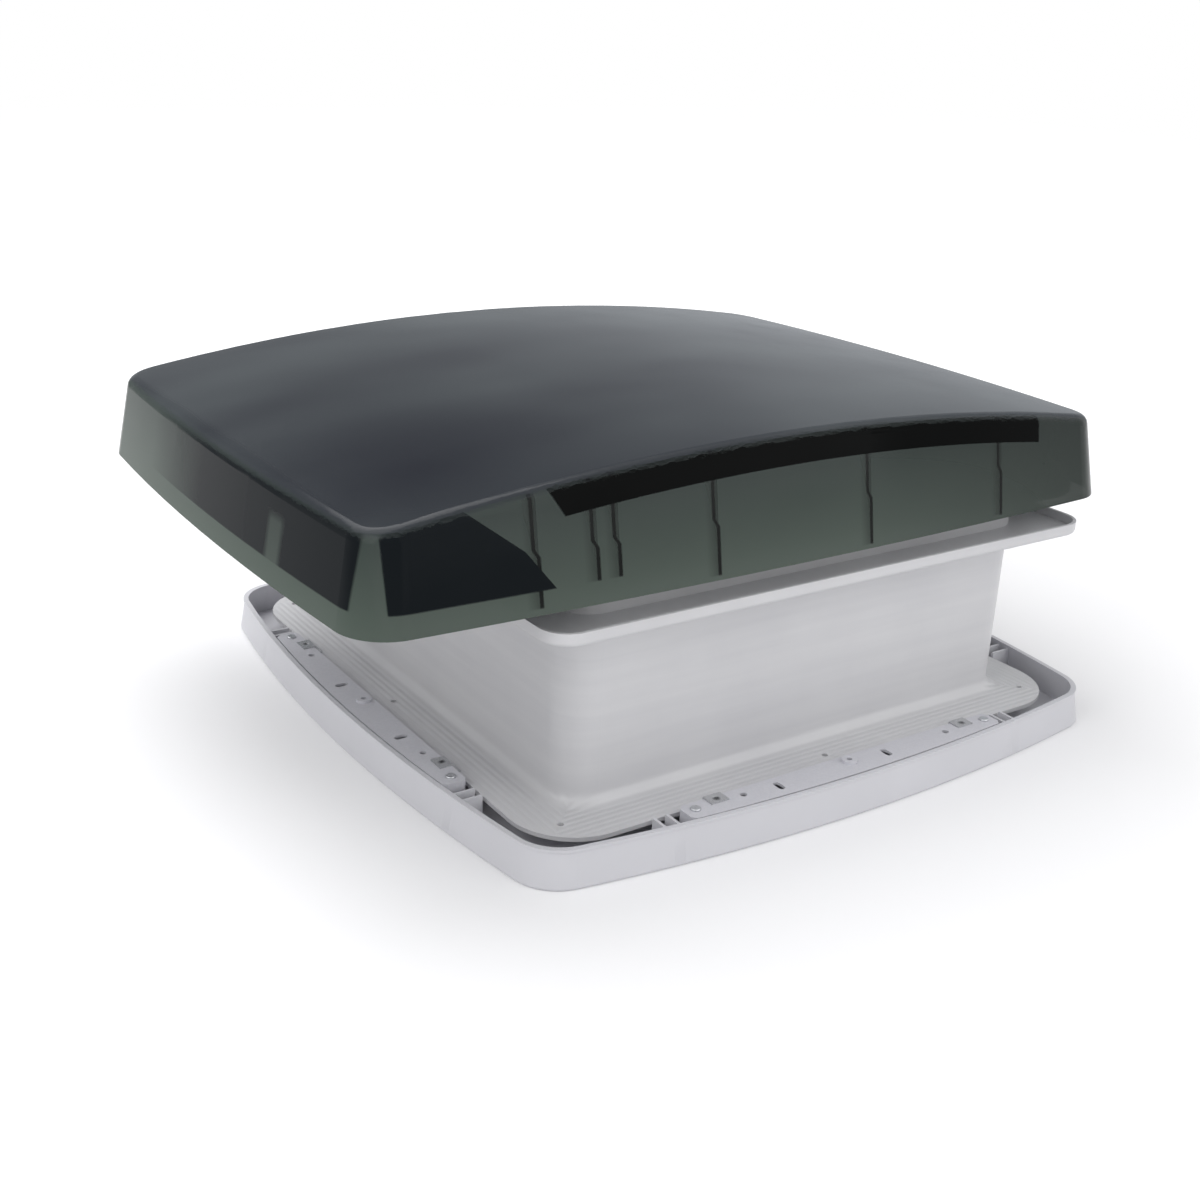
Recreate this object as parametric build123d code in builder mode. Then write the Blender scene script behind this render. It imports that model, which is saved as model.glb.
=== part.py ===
from build123d import *
import math
import os

os.makedirs("parts", exist_ok=True)

# Caravan roof vent, millimetres. Z = 0 is the underside of the roof flange, the face that beds
# on the caravan roof, at the middle of the roof opening. The lid is hinged at the rear (+X)
# and lifts at the front (-X). Left is -Y and right is +Y.

# Driving sizes.
roof_cutout = 400
cutout_gap = 1
overrun = 5
running_gap = 0.3
pin_gap = 0.05

# Upstand frame.
shaft_outer = roof_cutout - 2 * cutout_gap
shaft_wall = 3
shaft_corner = 24
shaft_top = 152
spigot_depth = 15.5
flange_reach = 36
flange_thickness = 3
flange_corner = 47
flange_foot_radius = 9
flange_hole = 4.5
flange_notch = 5
corner_hole_inset = 24.5
side_hole_inset = 13
rim_reach = 33
rim_corner = 20
rim_drop = 19
rim_floor = 2.5
rim_lip_height = 9
rim_lip = 2.5
rim_edge_radius = 3

# Interior tray.
tray_reach = 10
tray_mouth_bow = 20.5
tray_flare = 3.5
tray_foot_bow = 22
tray_corner = 34
tray_top = 9
tray_wall = 2.5
tray_floor = 2.5
tray_edge_radius = 2
tray_ledge = 28
tray_aperture_corner = 20
tray_locator_wall = 2
tray_locator_gap = 0.5
tray_locator_height = 8
tray_lip = 1
tray_lip_height = 2
tray_rib = 2
tray_rib_gap = 8
tray_rib_step = 10
tray_rib_lead = 0.5
tray_rib_drop = 3

# Mounting rails in the tray.
rail_half_length = 140
rail_flange_gap = 3
rail_end_width = 17.3
rail_middle_width = 23.5
rail_screw_inset = 8
rail_slot_inset = 10.5
rail_wall = 2
rail_chamfer = 3
rail_end_block = 16
rail_end_screw_share = (-0.94, 0.94)
screw_bite = 2
dome_screw_length = 11
leaf_screw_rise = 3.8
leaf_screw_head = 6
rail_slot_length = 10
rail_slot_width = 5
rail_slot_share = (-0.46, 0.23)
rail_hole = 5
rail_hole_share = (-0.66, 0.66)
rail_boss_bore = 4
rail_boss = 11
rail_boss_height = 2
clip_share = (-0.8, 0.8)
clip_width = 14
clip_thickness = 1
clip_foot = 9
clip_nose = 5
screw_head = 7
screw_head_height = 1.5
screw_shank = 3.2
boss_bore_depth = 9

# Lid.
lid_front_reach = 159
lid_rear_reach = 26
lid_side_reach = 31
lid_bow = 9
lid_corner = 33
lid_top_corner = 22
lid_gap = 4
lid_skirt = 53.5
lid_rise_x = 28.5
lid_rise_y = 3.5
lid_slope = 10
lid_thickness = 3
lid_edge_radius = 9
rib_thickness = 2.5
rib_pitch = 126.5
rib_shift = 5
rib_count = 4
rib_depth = 12
rib_upper_depth = 6
rib_step_share = 0.55
rib_clear = 20
front_rib_pitch = 128
boss_front_lap = 8
boss_rear_lap = 1
boss_side_inset = 20
boss_radius = 5
boss_cheek = 7.5

# Lid frame and inner pane.
lid_frame_gap = 6
lid_frame_thickness = 4
lid_frame_side_lap = 5
lid_frame_front_lap = 35
lid_frame_rear_lap = 54
lid_frame_corner = 40
lid_frame_inset = 18
lid_frame_opening_corner = 24
seal_height = 12
seal_outer_cover = 3
seal_inner_cover = 2.5
pane_flange = 6
pane_thickness = 2.5
pane_cover_x = 36
pane_cover_y = 20
pane_bow = 2
pane_corner = 30
pane_slope = 18
pane_drop = 15
pane_edge_radius = 8

# Hinges.
hinge_reach = 14
hinge_rise = 13
hinge_y = 150
hinge_pin_radius = 2.5
hinge_barrel = 6
hinge_leaf = 2
knuckle_length = 12
hinge_knuckles = 3
lid_leaf_reach = 36

# Lifting bow.
grab_inset = 46
arm_inset = 25
arm_thickness = 4
arm_eye = 9
arm_tip = 7
grab_radius = 7
grab_wall = 1.5
axle_radius = 4
axle_stub = 1.5
axle_clip_width = 2
axle_clip_thickness = 0.8
grab_plug = 12
slider_gap = 4
slide_rail_thickness = 8
slide_rail_height = 20
slide_rail_end = 12
roller_radius = 5
lift_angle = 50
bracket_plate = 3
bracket_half_width = 18
bracket_drop = 26
bolt_radius = 3
bolt_head = 5.5
bolt_head_height = 3
bolt_reach = 14
knob_radius = 13
knob_depth = 12
knob_lobes = 6
knob_scallop = 4

# Turn catches.
catch_y = 60
catch_grab_gap = 22
catch_reach = 28
catch_width = 14
catch_thickness = 3.2
catch_tab = 6
catch_pin_radius = 2
catch_head = 4
catch_shelf = 4.5
catch_base_width = 20
catch_base_depth = 30
catch_cover = 1

# Flyscreen and blind.
guide_width = 16.5
guide_gap = 1.5
guide_end_inset = 24
groove_depth = 10
groove_height = 13
guide_web = 3
guide_lid = 2.5
guide_foot = 1
cassette_wall = 1.5
cassette_end_inset = 7
bar_width = 12
bar_end_gap = 0.3
bar_grip_length = 60
bar_grip = 3
pleat_count = 16
pleat_depth = 11
fabric_thickness = 0.35
fabric_end_gap = 1

# Places that follow from the sizes above.
shaft_half = shaft_outer / 2
shaft_inner = shaft_outer - 2 * shaft_wall
shaft_inner_half = shaft_inner / 2
flange_size = shaft_outer + 2 * flange_reach
corner_hole_pitch = flange_size - 2 * corner_hole_inset
side_hole_pitch = flange_size - 2 * side_hole_inset
rim_size = shaft_outer + 2 * rim_reach
rim_underside = shaft_top - rim_drop
tray_mouth_half = flange_size / 2 + tray_reach
tray_foot_half = tray_mouth_half + tray_flare
tray_aperture = shaft_inner - 2 * tray_ledge
tray_floor_top = -spigot_depth
tray_bottom = tray_floor_top - tray_floor
rail_inner = flange_size / 2 + rail_flange_gap
rail_middle = rail_inner + rail_screw_inset
tray_rib_first = rail_half_length + tray_rib_gap
tray_rib_x = (tray_rib_first, tray_rib_first + tray_rib_step)
tray_rib_inner = rail_inner - tray_rib_lead
hinge_x = rim_size / 2 + hinge_reach
hinge_z = rim_underside + hinge_rise
leaf_screw_z = rim_underside + leaf_screw_rise
lid_front = -shaft_half - lid_front_reach
lid_rear = hinge_x + lid_rear_reach
lid_length = lid_rear - lid_front
lid_width = shaft_outer + 2 * lid_side_reach
lid_centre_x = (lid_front + lid_rear) / 2
lid_base = shaft_top + lid_gap
lid_shoulder = lid_base + lid_skirt
lid_crown = lid_shoulder + lid_rise_x + lid_rise_y
rib_centre_x = lid_centre_x - rib_shift
boss_front_x = boss_front_lap - shaft_half
boss_rear_x = shaft_half + boss_rear_lap
boss_y = lid_width / 2 - boss_side_inset
lid_frame_base = shaft_top + lid_frame_gap
lid_frame_top = lid_frame_base + lid_frame_thickness
lid_frame_front = lid_frame_front_lap - boss_front_x
lid_frame_rear = boss_rear_x + lid_frame_rear_lap
lid_frame_width = 2 * (boss_y + lid_frame_side_lap)
lid_frame_opening = shaft_inner - 2 * lid_frame_inset
seal_top = lid_frame_base - running_gap
pane_half_x = lid_frame_opening / 2 + pane_cover_x
pane_half_y = lid_frame_opening / 2 + pane_cover_y
arm_y = shaft_inner_half - arm_inset
slide_y = arm_y + arm_thickness + slider_gap
grab_x = grab_inset - shaft_inner_half
arm_length = (hinge_x - grab_x) / 2
arm_pivot_x = hinge_x - arm_length
leaf_screw_y = [y + s * knuckle_length for y in (-hinge_y, hinge_y) for s in (-1, 1)]
slot_front = grab_x
slot_rear = hinge_x - 2 * arm_length * math.cos(math.radians(lift_angle))
catch_pivot_x = grab_x - catch_grab_gap
guide_outer = shaft_inner_half - guide_gap
guide_face = guide_outer - guide_width
guide_half_length = shaft_inner_half - guide_end_inset
cassette_half_length = guide_face - cassette_end_inset
fabric_half_width = cassette_half_length - fabric_end_gap


def bowed_outline(half_x, half_y, bow, radius):
    """Rounded rectangle whose four sides bulge outwards by bow."""
    with BuildSketch(mode=Mode.PRIVATE) as outline:
        with BuildLine():
            ThreePointArc((-half_x, -half_y), (0, -half_y - bow), (half_x, -half_y))
            ThreePointArc((half_x, -half_y), (half_x + bow, 0), (half_x, half_y))
            ThreePointArc((half_x, half_y), (0, half_y + bow), (-half_x, half_y))
            ThreePointArc((-half_x, half_y), (-half_x - bow, 0), (-half_x, -half_y))
        make_face()
        fillet(outline.vertices(), radius)
    return outline.sketch


def domed_block(centre_x, half_x, half_y, bow, corner, top_corner, base, crown, slope, edge, inset):
    """Tapered block under a shallow barrel, drawn in on every side by inset."""
    height = crown + overrun - base
    lean = height * math.tan(math.radians(slope))
    bulge_x = ((lid_length / 2) ** 2 + lid_rise_x**2) / (2 * lid_rise_x) - inset
    bulge_y = ((lid_width / 2) ** 2 + lid_rise_y**2) / (2 * lid_rise_y) - inset
    with BuildPart() as block:
        with BuildSketch(Plane.XY.offset(base)):
            with Locations((centre_x, 0)):
                add(bowed_outline(half_x - inset - bow, half_y - inset - bow, bow, corner - inset))
        with BuildSketch(Plane.XY.offset(base + height)):
            with Locations((centre_x, 0)):
                add(
                    bowed_outline(
                        half_x - inset - bow - lean,
                        half_y - inset - bow - lean,
                        bow,
                        top_corner - inset,
                    )
                )
        loft(ruled=True)
        with BuildSketch(Plane.XZ):
            with BuildLine():
                crest = crown - inset
                sag = bulge_x - math.sqrt(bulge_x**2 - half_x**2)
                left = (centre_x - half_x, crest - sag)
                right = (centre_x + half_x, crest - sag)
                ThreePointArc(left, (centre_x, crest), right)
                Polyline(right, (right[0], crest - bulge_y), (left[0], crest - bulge_y), left)
            make_face()
        revolve(axis=Axis((0, 0, crest - bulge_y), (1, 0, 0)), mode=Mode.INTERSECT)
        fillet(block.faces().sort_by(Axis.Z)[-1].edges(), edge - inset)
    return block.part


# Upstand frame: one moulding, a square shaft with a roof flange and a gutter rim.
with BuildPart() as upstand_frame:
    with BuildSketch(Plane.XY.offset(-spigot_depth)):
        RectangleRounded(shaft_outer, shaft_outer, shaft_corner)
    extrude(amount=spigot_depth + shaft_top)
    with BuildSketch(Plane.XY):
        RectangleRounded(flange_size, flange_size, flange_corner)
    extrude(amount=flange_thickness)
    fillet(
        upstand_frame.edges()
        .filter_by_position(Axis.Z, flange_thickness, flange_thickness)
        .group_by(lambda e: max(abs(e.center().X), abs(e.center().Y)) > shaft_half + cutout_gap)[0],
        flange_foot_radius,
    )
    with BuildSketch(Plane.XY.offset(rim_underside)):
        RectangleRounded(rim_size, rim_size, rim_corner)
    extrude(amount=rim_lip_height)
    fillet(
        upstand_frame.edges()
        .filter_by_position(Axis.Z, rim_underside, rim_underside)
        .group_by(lambda e: max(abs(e.center().X), abs(e.center().Y)) > shaft_half + cutout_gap)[-1],
        rim_edge_radius,
    )
    with BuildSketch(Plane.XY.offset(rim_underside + rim_floor)):
        gutter_size = rim_size - 2 * rim_lip
        RectangleRounded(gutter_size, gutter_size, rim_corner - rim_lip)
        RectangleRounded(shaft_outer, shaft_outer, shaft_corner, mode=Mode.SUBTRACT)
    extrude(amount=rim_lip_height, mode=Mode.SUBTRACT)
    with BuildSketch(Plane.XY.offset(-spigot_depth)):
        RectangleRounded(shaft_inner, shaft_inner, shaft_corner - shaft_wall)
    extrude(amount=spigot_depth + shaft_top, mode=Mode.SUBTRACT)
    with BuildSketch(Plane.XY):
        with GridLocations(corner_hole_pitch, corner_hole_pitch, 2, 2):
            Circle(flange_hole / 2)
        with PolarLocations(side_hole_pitch / 2, 4):
            Circle(flange_hole / 2)
        with PolarLocations(flange_size / 2, 4):
            Circle(flange_notch / 2)
    extrude(amount=flange_thickness, mode=Mode.SUBTRACT)
    with BuildSketch(Plane.YZ.offset(rim_size / 2 - rim_lip)):
        with Locations(*[(y, leaf_screw_z) for y in leaf_screw_y]):
            Circle(screw_shank / 2 + pin_gap)
    extrude(amount=rim_lip, mode=Mode.SUBTRACT)
upstand_frame.part.label = "upstand_frame"
export_step(upstand_frame.part, "parts/upstand_frame.step")

# Lid seal: rubber profile pushed over the top edge of the shaft.
with BuildPart() as dome_seal:
    with BuildSketch(Plane.XY.offset(seal_top - seal_height)):
        seal_outside = shaft_outer + 2 * seal_outer_cover
        seal_inside = shaft_inner - 2 * seal_inner_cover
        RectangleRounded(seal_outside, seal_outside, shaft_corner + seal_outer_cover)
        RectangleRounded(
            seal_inside,
            seal_inside,
            shaft_corner - shaft_wall - seal_inner_cover,
            mode=Mode.SUBTRACT,
        )
    extrude(amount=seal_height)
    fillet(dome_seal.faces().sort_by(Axis.Z)[-1].edges(), seal_inner_cover)
    with BuildSketch(Plane.XY.offset(seal_top - seal_height)):
        RectangleRounded(shaft_outer, shaft_outer, shaft_corner)
        RectangleRounded(shaft_inner, shaft_inner, shaft_corner - shaft_wall, mode=Mode.SUBTRACT)
    extrude(amount=shaft_top - seal_top + seal_height, mode=Mode.SUBTRACT)
dome_seal.part.label = "dome_seal"
export_step(dome_seal.part, "parts/dome_seal.step")

# Interior tray: bowed wall that flares towards the room, floor with the light opening.
with BuildPart() as tray_block:
    with BuildSketch(Plane.XY.offset(tray_bottom)):
        add(bowed_outline(tray_foot_half, tray_foot_half, tray_foot_bow, tray_corner))
    with BuildSketch(Plane.XY.offset(tray_top)):
        add(bowed_outline(tray_mouth_half, tray_mouth_half, tray_mouth_bow, tray_corner))
    loft(ruled=True)
with BuildPart() as tray_ribs:
    with BuildSketch(Plane.XY.offset(tray_floor_top)):
        with PolarLocations(0, 4):
            with Locations(*[(s * x, -tray_rib_inner) for x in tray_rib_x for s in (-1, 1)]):
                Rectangle(tray_rib, tray_foot_bow + overrun, align=(Align.CENTER, Align.MAX))
    extrude(amount=tray_top - tray_rib_drop - tray_floor_top)
    add(tray_block.part, mode=Mode.INTERSECT)
with BuildPart() as inner_tray:
    add(tray_block.part)
    with BuildSketch(Plane.XY.offset(tray_top - tray_lip_height)):
        tray_lip_half = tray_mouth_half + tray_lip
        add(bowed_outline(tray_lip_half, tray_lip_half, tray_mouth_bow, tray_corner + tray_lip))
    extrude(amount=tray_lip_height)
    fillet(inner_tray.faces().sort_by(Axis.Z)[0].edges(), tray_edge_radius)
    tray_inner_radius = tray_corner - tray_wall
    with BuildSketch(Plane.XY.offset(tray_floor_top)):
        tray_foot_inside = tray_foot_half - tray_wall
        add(bowed_outline(tray_foot_inside, tray_foot_inside, tray_foot_bow, tray_inner_radius))
    with BuildSketch(Plane.XY.offset(tray_top)):
        tray_mouth_inside = tray_mouth_half - tray_wall
        add(bowed_outline(tray_mouth_inside, tray_mouth_inside, tray_mouth_bow, tray_inner_radius))
    loft(ruled=True, mode=Mode.SUBTRACT)
    add(tray_ribs.part)
    with BuildSketch(Plane.XY.offset(tray_bottom)):
        RectangleRounded(tray_aperture, tray_aperture, tray_aperture_corner)
    extrude(amount=tray_floor, mode=Mode.SUBTRACT)
    with BuildSketch(Plane.XY.offset(tray_floor_top)):
        locator_inside = shaft_outer + 2 * tray_locator_gap
        locator_outside = locator_inside + 2 * tray_locator_wall
        locator_radius = shaft_corner + tray_locator_gap
        RectangleRounded(locator_outside, locator_outside, locator_radius + tray_locator_wall)
        RectangleRounded(locator_inside, locator_inside, locator_radius, mode=Mode.SUBTRACT)
    extrude(amount=tray_locator_height)
    with BuildSketch(Plane.XY.offset(tray_floor_top - screw_bite)):
        with PolarLocations(0, 4):
            with Locations(*[(s * rail_half_length, -rail_middle) for s in rail_end_screw_share]):
                Circle(screw_shank / 2 + pin_gap)
    extrude(amount=screw_bite, mode=Mode.SUBTRACT)
inner_tray.part.label = "inner_tray"
export_step(inner_tray.part, "parts/inner_tray.step")



def rail_outline(half_length, inset):
    """Rail seen from above: straight along the flange, bowed along the tray wall."""
    flange_side = -rail_inner - inset
    end = -rail_inner - rail_end_width + inset
    middle = -rail_inner - rail_middle_width + inset
    with BuildSketch(mode=Mode.PRIVATE) as outline:
        with BuildLine():
            Polyline(
                (-half_length, end),
                (-half_length, flange_side),
                (half_length, flange_side),
                (half_length, end),
            )
            ThreePointArc((half_length, end), (0, middle), (-half_length, end))
        make_face()
    return outline.sketch


# Mounting rails: channels open below, one along each side of the tray.
with BuildPart() as mounting_rail_left:
    with BuildSketch(Plane.XY.offset(tray_floor_top)):
        add(rail_outline(rail_half_length, 0))
    extrude(amount=tray_top - tray_floor_top)
    chamfer(mounting_rail_left.edges().filter_by(Axis.Z), rail_chamfer)
    with BuildSketch(Plane.XY.offset(tray_floor_top)):
        add(rail_outline(rail_half_length - rail_end_block, rail_wall))
    extrude(amount=tray_top - tray_floor_top - rail_wall, mode=Mode.SUBTRACT)
    with BuildSketch(Plane.XY.offset(tray_top - rail_wall)):
        with Locations((0, -rail_middle)):
            Circle(rail_boss / 2)
    extrude(amount=rail_wall + rail_boss_height)
    with BuildSketch(Plane.XY.offset(tray_top - rail_wall)):
        slot_middle = rail_inner + rail_slot_inset
        with Locations(*[(s * rail_half_length, -slot_middle) for s in rail_slot_share]):
            SlotOverall(rail_slot_length, rail_slot_width, rotation=90)
        with Locations(*[(s * rail_half_length, -rail_middle) for s in rail_hole_share]):
            Circle(rail_hole / 2)
        with Locations((0, -rail_middle)):
            Circle(rail_boss_bore / 2)
    extrude(amount=rail_wall + rail_boss_height, mode=Mode.SUBTRACT)
    with BuildSketch(Plane.XY.offset(tray_floor_top)):
        with Locations(*[(s * rail_half_length, -rail_middle) for s in rail_end_screw_share]):
            Circle(screw_shank / 2 + pin_gap)
    extrude(amount=tray_top - tray_floor_top, mode=Mode.SUBTRACT)
mounting_rail_left.part.label = "mounting_rail_left"
export_step(mounting_rail_left.part, "parts/mounting_rail_left.step")

with BuildPart() as mounting_rail_right:
    mirror(mounting_rail_left.part, about=Plane.XZ)
mounting_rail_right.part.label = "mounting_rail_right"
export_step(mounting_rail_right.part, "parts/mounting_rail_right.step")

with BuildPart() as mounting_rail_front:
    add(Rotation(0, 0, -90) * mirror(mounting_rail_left.part, about=Plane.YZ, mode=Mode.PRIVATE))
mounting_rail_front.part.label = "mounting_rail_front"
export_step(mounting_rail_front.part, "parts/mounting_rail_front.step")

with BuildPart() as mounting_rail_rear:
    mirror(mounting_rail_front.part, about=Plane.YZ)
mounting_rail_rear.part.label = "mounting_rail_rear"
export_step(mounting_rail_rear.part, "parts/mounting_rail_rear.step")

# Rail clips: sprung strips on the rails whose noses hold down the flange edge.
with BuildPart() as clip_pair:
    with BuildSketch(Plane.YZ):
        drop_outer = -rail_inner + running_gap
        drop_inner = drop_outer + clip_thickness
        clip_top = tray_top + clip_thickness
        nose_bottom = flange_thickness + running_gap
        with BuildLine():
            Polyline(
                (-rail_inner - clip_foot, tray_top),
                (-rail_inner - clip_foot, clip_top),
                (drop_inner, clip_top),
                (drop_inner, nose_bottom + clip_thickness),
                (drop_inner + clip_nose, nose_bottom + clip_thickness),
                (drop_inner + clip_nose, nose_bottom),
                (drop_outer, nose_bottom),
                (drop_outer, tray_top),
                close=True,
            )
        make_face()
    clip_profile = extrude(amount=clip_width / 2, both=True, mode=Mode.PRIVATE)
    with Locations(*[(s * rail_half_length, 0, 0) for s in clip_share]):
        add(clip_profile)
with BuildPart() as rail_clips:
    with PolarLocations(0, 4):
        add(clip_pair.part)
rail_clips.part.label = "rail_clips"
export_step(rail_clips.part, "parts/rail_clips.step")


def pan_screw(head, head_height, shank, length):
    """Round-headed screw along -Z with its seat at Z = 0."""
    with BuildPart(mode=Mode.PRIVATE) as screw:
        with BuildSketch(Plane.XY):
            Circle(head / 2)
        extrude(amount=head_height)
        fillet(screw.faces().sort_by(Axis.Z)[-1].edges(), head_height / 2)
        with BuildSketch(Plane.XY):
            Circle(shank / 2)
        extrude(amount=-length)
    return screw.part


# Rail screws: two through the end blocks of each rail into the tray floor.
rail_screw_length = tray_top - tray_floor_top + screw_bite
rail_screw = pan_screw(screw_head, screw_head_height, screw_shank, rail_screw_length)
with BuildPart() as rail_screws:
    with PolarLocations(0, 4):
        with Locations(*[(s * rail_half_length, -rail_middle, tray_top) for s in rail_end_screw_share]):
            add(rail_screw)
rail_screws.part.label = "rail_screws"
export_step(rail_screws.part, "parts/rail_screws.step")

# Outer dome: smoked shell with a crowned roof, a leaning skirt, gussets and screw bosses.
dome_outside = domed_block(
    lid_centre_x,
    lid_length / 2,
    lid_width / 2,
    lid_bow,
    lid_corner,
    lid_top_corner,
    lid_base,
    lid_crown,
    lid_slope,
    lid_edge_radius,
    0,
)
dome_inside = domed_block(
    lid_centre_x,
    lid_length / 2,
    lid_width / 2,
    lid_bow,
    lid_corner,
    lid_top_corner,
    lid_base,
    lid_crown,
    lid_slope,
    lid_edge_radius,
    lid_thickness,
)
skirt_lean = math.tan(math.radians(lid_slope))


def gusset(edge, side):
    """Gusset outline against a skirt whose foot is at edge and leans towards side."""
    foot = lid_base + rib_clear
    top = lid_crown
    step = foot + rib_step_share * (lid_shoulder - foot)

    def wall(z):
        return edge + side * skirt_lean * (z - lid_base)

    with BuildSketch(mode=Mode.PRIVATE) as outline:
        with BuildLine():
            Polyline(
                (wall(foot), foot),
                (wall(foot) + side * rib_depth, foot + rib_depth),
                (wall(step) + side * rib_depth, step),
                (wall(step) + side * rib_upper_depth, step),
                (wall(top) + side * rib_upper_depth, top),
                (edge, top),
                close=True,
            )
        make_face()
    return outline.sketch


rib_span = (rib_count - 1) * rib_pitch
rib_places = [rib_centre_x - rib_span / 2 + i * rib_pitch for i in range(rib_count)]
boss_places = [(x, y) for x in (boss_front_x, boss_rear_x) for y in (-boss_y, boss_y)]
cheek_places = [x + s * boss_cheek for x in (boss_front_x, boss_rear_x) for s in (-1, 1)]
with BuildPart() as dome_ribs:
    with BuildSketch(*[Plane.YZ.offset(x) for x in rib_places + cheek_places]):
        add(gusset(-lid_width / 2, 1))
        add(gusset(lid_width / 2, -1))
    extrude(amount=rib_thickness / 2, both=True)
    with BuildSketch(*[Plane.XZ.offset(s * front_rib_pitch / 2) for s in (-1, 1)]):
        add(gusset(lid_front, 1))
    extrude(amount=rib_thickness / 2, both=True)
    with BuildSketch(Plane.XY.offset(lid_frame_top)):
        with Locations(*boss_places):
            Circle(boss_radius)
    extrude(amount=lid_crown - lid_frame_top)
    add(dome_outside, mode=Mode.INTERSECT)
with BuildPart() as outer_dome:
    add(dome_outside)
    add(dome_inside, mode=Mode.SUBTRACT)
    add(dome_ribs.part)
    with BuildSketch(Plane.XY.offset(lid_frame_top)):
        with Locations(*boss_places):
            Circle(screw_shank / 2 + pin_gap)
    extrude(amount=boss_bore_depth, mode=Mode.SUBTRACT)
outer_dome.part.label = "outer_dome"
export_step(outer_dome.part, "parts/outer_dome.step")

# Lid frame: flat ring that carries the dome, the pane, the hinges and the slide rails.
leaf_screw_places = [(hinge_x - lid_leaf_reach / 2, y) for y in leaf_screw_y]
with BuildPart() as lid_frame:
    with BuildSketch(Plane.XY.offset(lid_frame_base)):
        with Locations(((lid_frame_rear - lid_frame_front) / 2, 0)):
            RectangleRounded(lid_frame_front + lid_frame_rear, lid_frame_width, lid_frame_corner)
        RectangleRounded(
            lid_frame_opening, lid_frame_opening, lid_frame_opening_corner, mode=Mode.SUBTRACT
        )
        with Locations(*boss_places, *leaf_screw_places):
            Circle(screw_shank / 2 + pin_gap, mode=Mode.SUBTRACT)
    extrude(amount=lid_frame_thickness)
lid_frame.part.label = "lid_frame"
export_step(lid_frame.part, "parts/lid_frame.step")

# Inner pane: second acrylic dome on the lid frame, under the outer one.
pane_crown = lid_crown - pane_drop
pane_outside = domed_block(
    0,
    pane_half_x,
    pane_half_y,
    pane_bow,
    pane_corner,
    pane_corner,
    lid_frame_top,
    pane_crown,
    pane_slope,
    pane_edge_radius,
    0,
)
pane_inside = domed_block(
    0,
    pane_half_x,
    pane_half_y,
    pane_bow,
    pane_corner,
    pane_corner,
    lid_frame_top,
    pane_crown,
    pane_slope,
    pane_edge_radius,
    pane_thickness,
)
with BuildPart() as inner_pane:
    add(pane_outside)
    with BuildSketch(Plane.XY.offset(lid_frame_top)):
        RectangleRounded(
            2 * (pane_half_x + pane_flange), 2 * (pane_half_y + pane_flange), pane_corner + pane_flange
        )
    extrude(amount=pane_thickness)
    add(pane_inside, mode=Mode.SUBTRACT)
inner_pane.part.label = "inner_pane"
export_step(inner_pane.part, "parts/inner_pane.step")

# Dome screws: up through the lid frame into the dome's bosses.
dome_screw = pan_screw(screw_head, screw_head_height, screw_shank, dome_screw_length)
with BuildPart() as dome_screws:
    with Locations(*[Location((x, y, lid_frame_base), (180, 0, 0)) for x, y in boss_places]):
        add(dome_screw)
dome_screws.part.label = "dome_screws"
export_step(dome_screws.part, "parts/dome_screws.step")

# Hinges: three-knuckle hinges outside the rear rim, pins along Y.
leaf_half = hinge_knuckles * knuckle_length / 2
with BuildPart() as frame_hinge_left:
    with BuildSketch(Plane.XZ.offset(hinge_y)):
        with Locations((hinge_x, hinge_z)):
            Circle(hinge_barrel)
        with Locations((rim_size / 2, hinge_z - hinge_barrel)):
            Rectangle(hinge_x - rim_size / 2, hinge_leaf, align=(Align.MIN, Align.MIN))
    extrude(amount=leaf_half, both=True)
    with BuildSketch(Plane.XZ.offset(hinge_y)):
        with Locations((hinge_x, hinge_z)):
            Circle(hinge_barrel + running_gap)
        with Locations((rim_size / 2 + hinge_leaf, hinge_z - hinge_barrel)):
            Rectangle(hinge_x - rim_size / 2, hinge_leaf, align=(Align.MIN, Align.MIN))
    extrude(amount=knuckle_length / 2 + running_gap, both=True, mode=Mode.SUBTRACT)
    with BuildSketch(Plane.XZ.offset(hinge_y)):
        with Locations((rim_size / 2, rim_underside)):
            Rectangle(hinge_leaf, rim_lip_height, align=(Align.MIN, Align.MIN))
    extrude(amount=leaf_half, both=True)
    with BuildSketch(Plane.XZ.offset(hinge_y)):
        with Locations((hinge_x, hinge_z)):
            Circle(hinge_pin_radius + pin_gap)
    extrude(amount=leaf_half, both=True, mode=Mode.SUBTRACT)
    with BuildSketch(Plane.YZ.offset(rim_size / 2)):
        with Locations(*[(s * knuckle_length - hinge_y, leaf_screw_z) for s in (-1, 1)]):
            Circle(screw_shank / 2 + pin_gap)
    extrude(amount=hinge_leaf, mode=Mode.SUBTRACT)
frame_hinge_left.part.label = "frame_hinge_left"
export_step(frame_hinge_left.part, "parts/frame_hinge_left.step")

with BuildPart() as frame_hinge_right:
    mirror(frame_hinge_left.part, about=Plane.XZ)
frame_hinge_right.part.label = "frame_hinge_right"
export_step(frame_hinge_right.part, "parts/frame_hinge_right.step")

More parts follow.
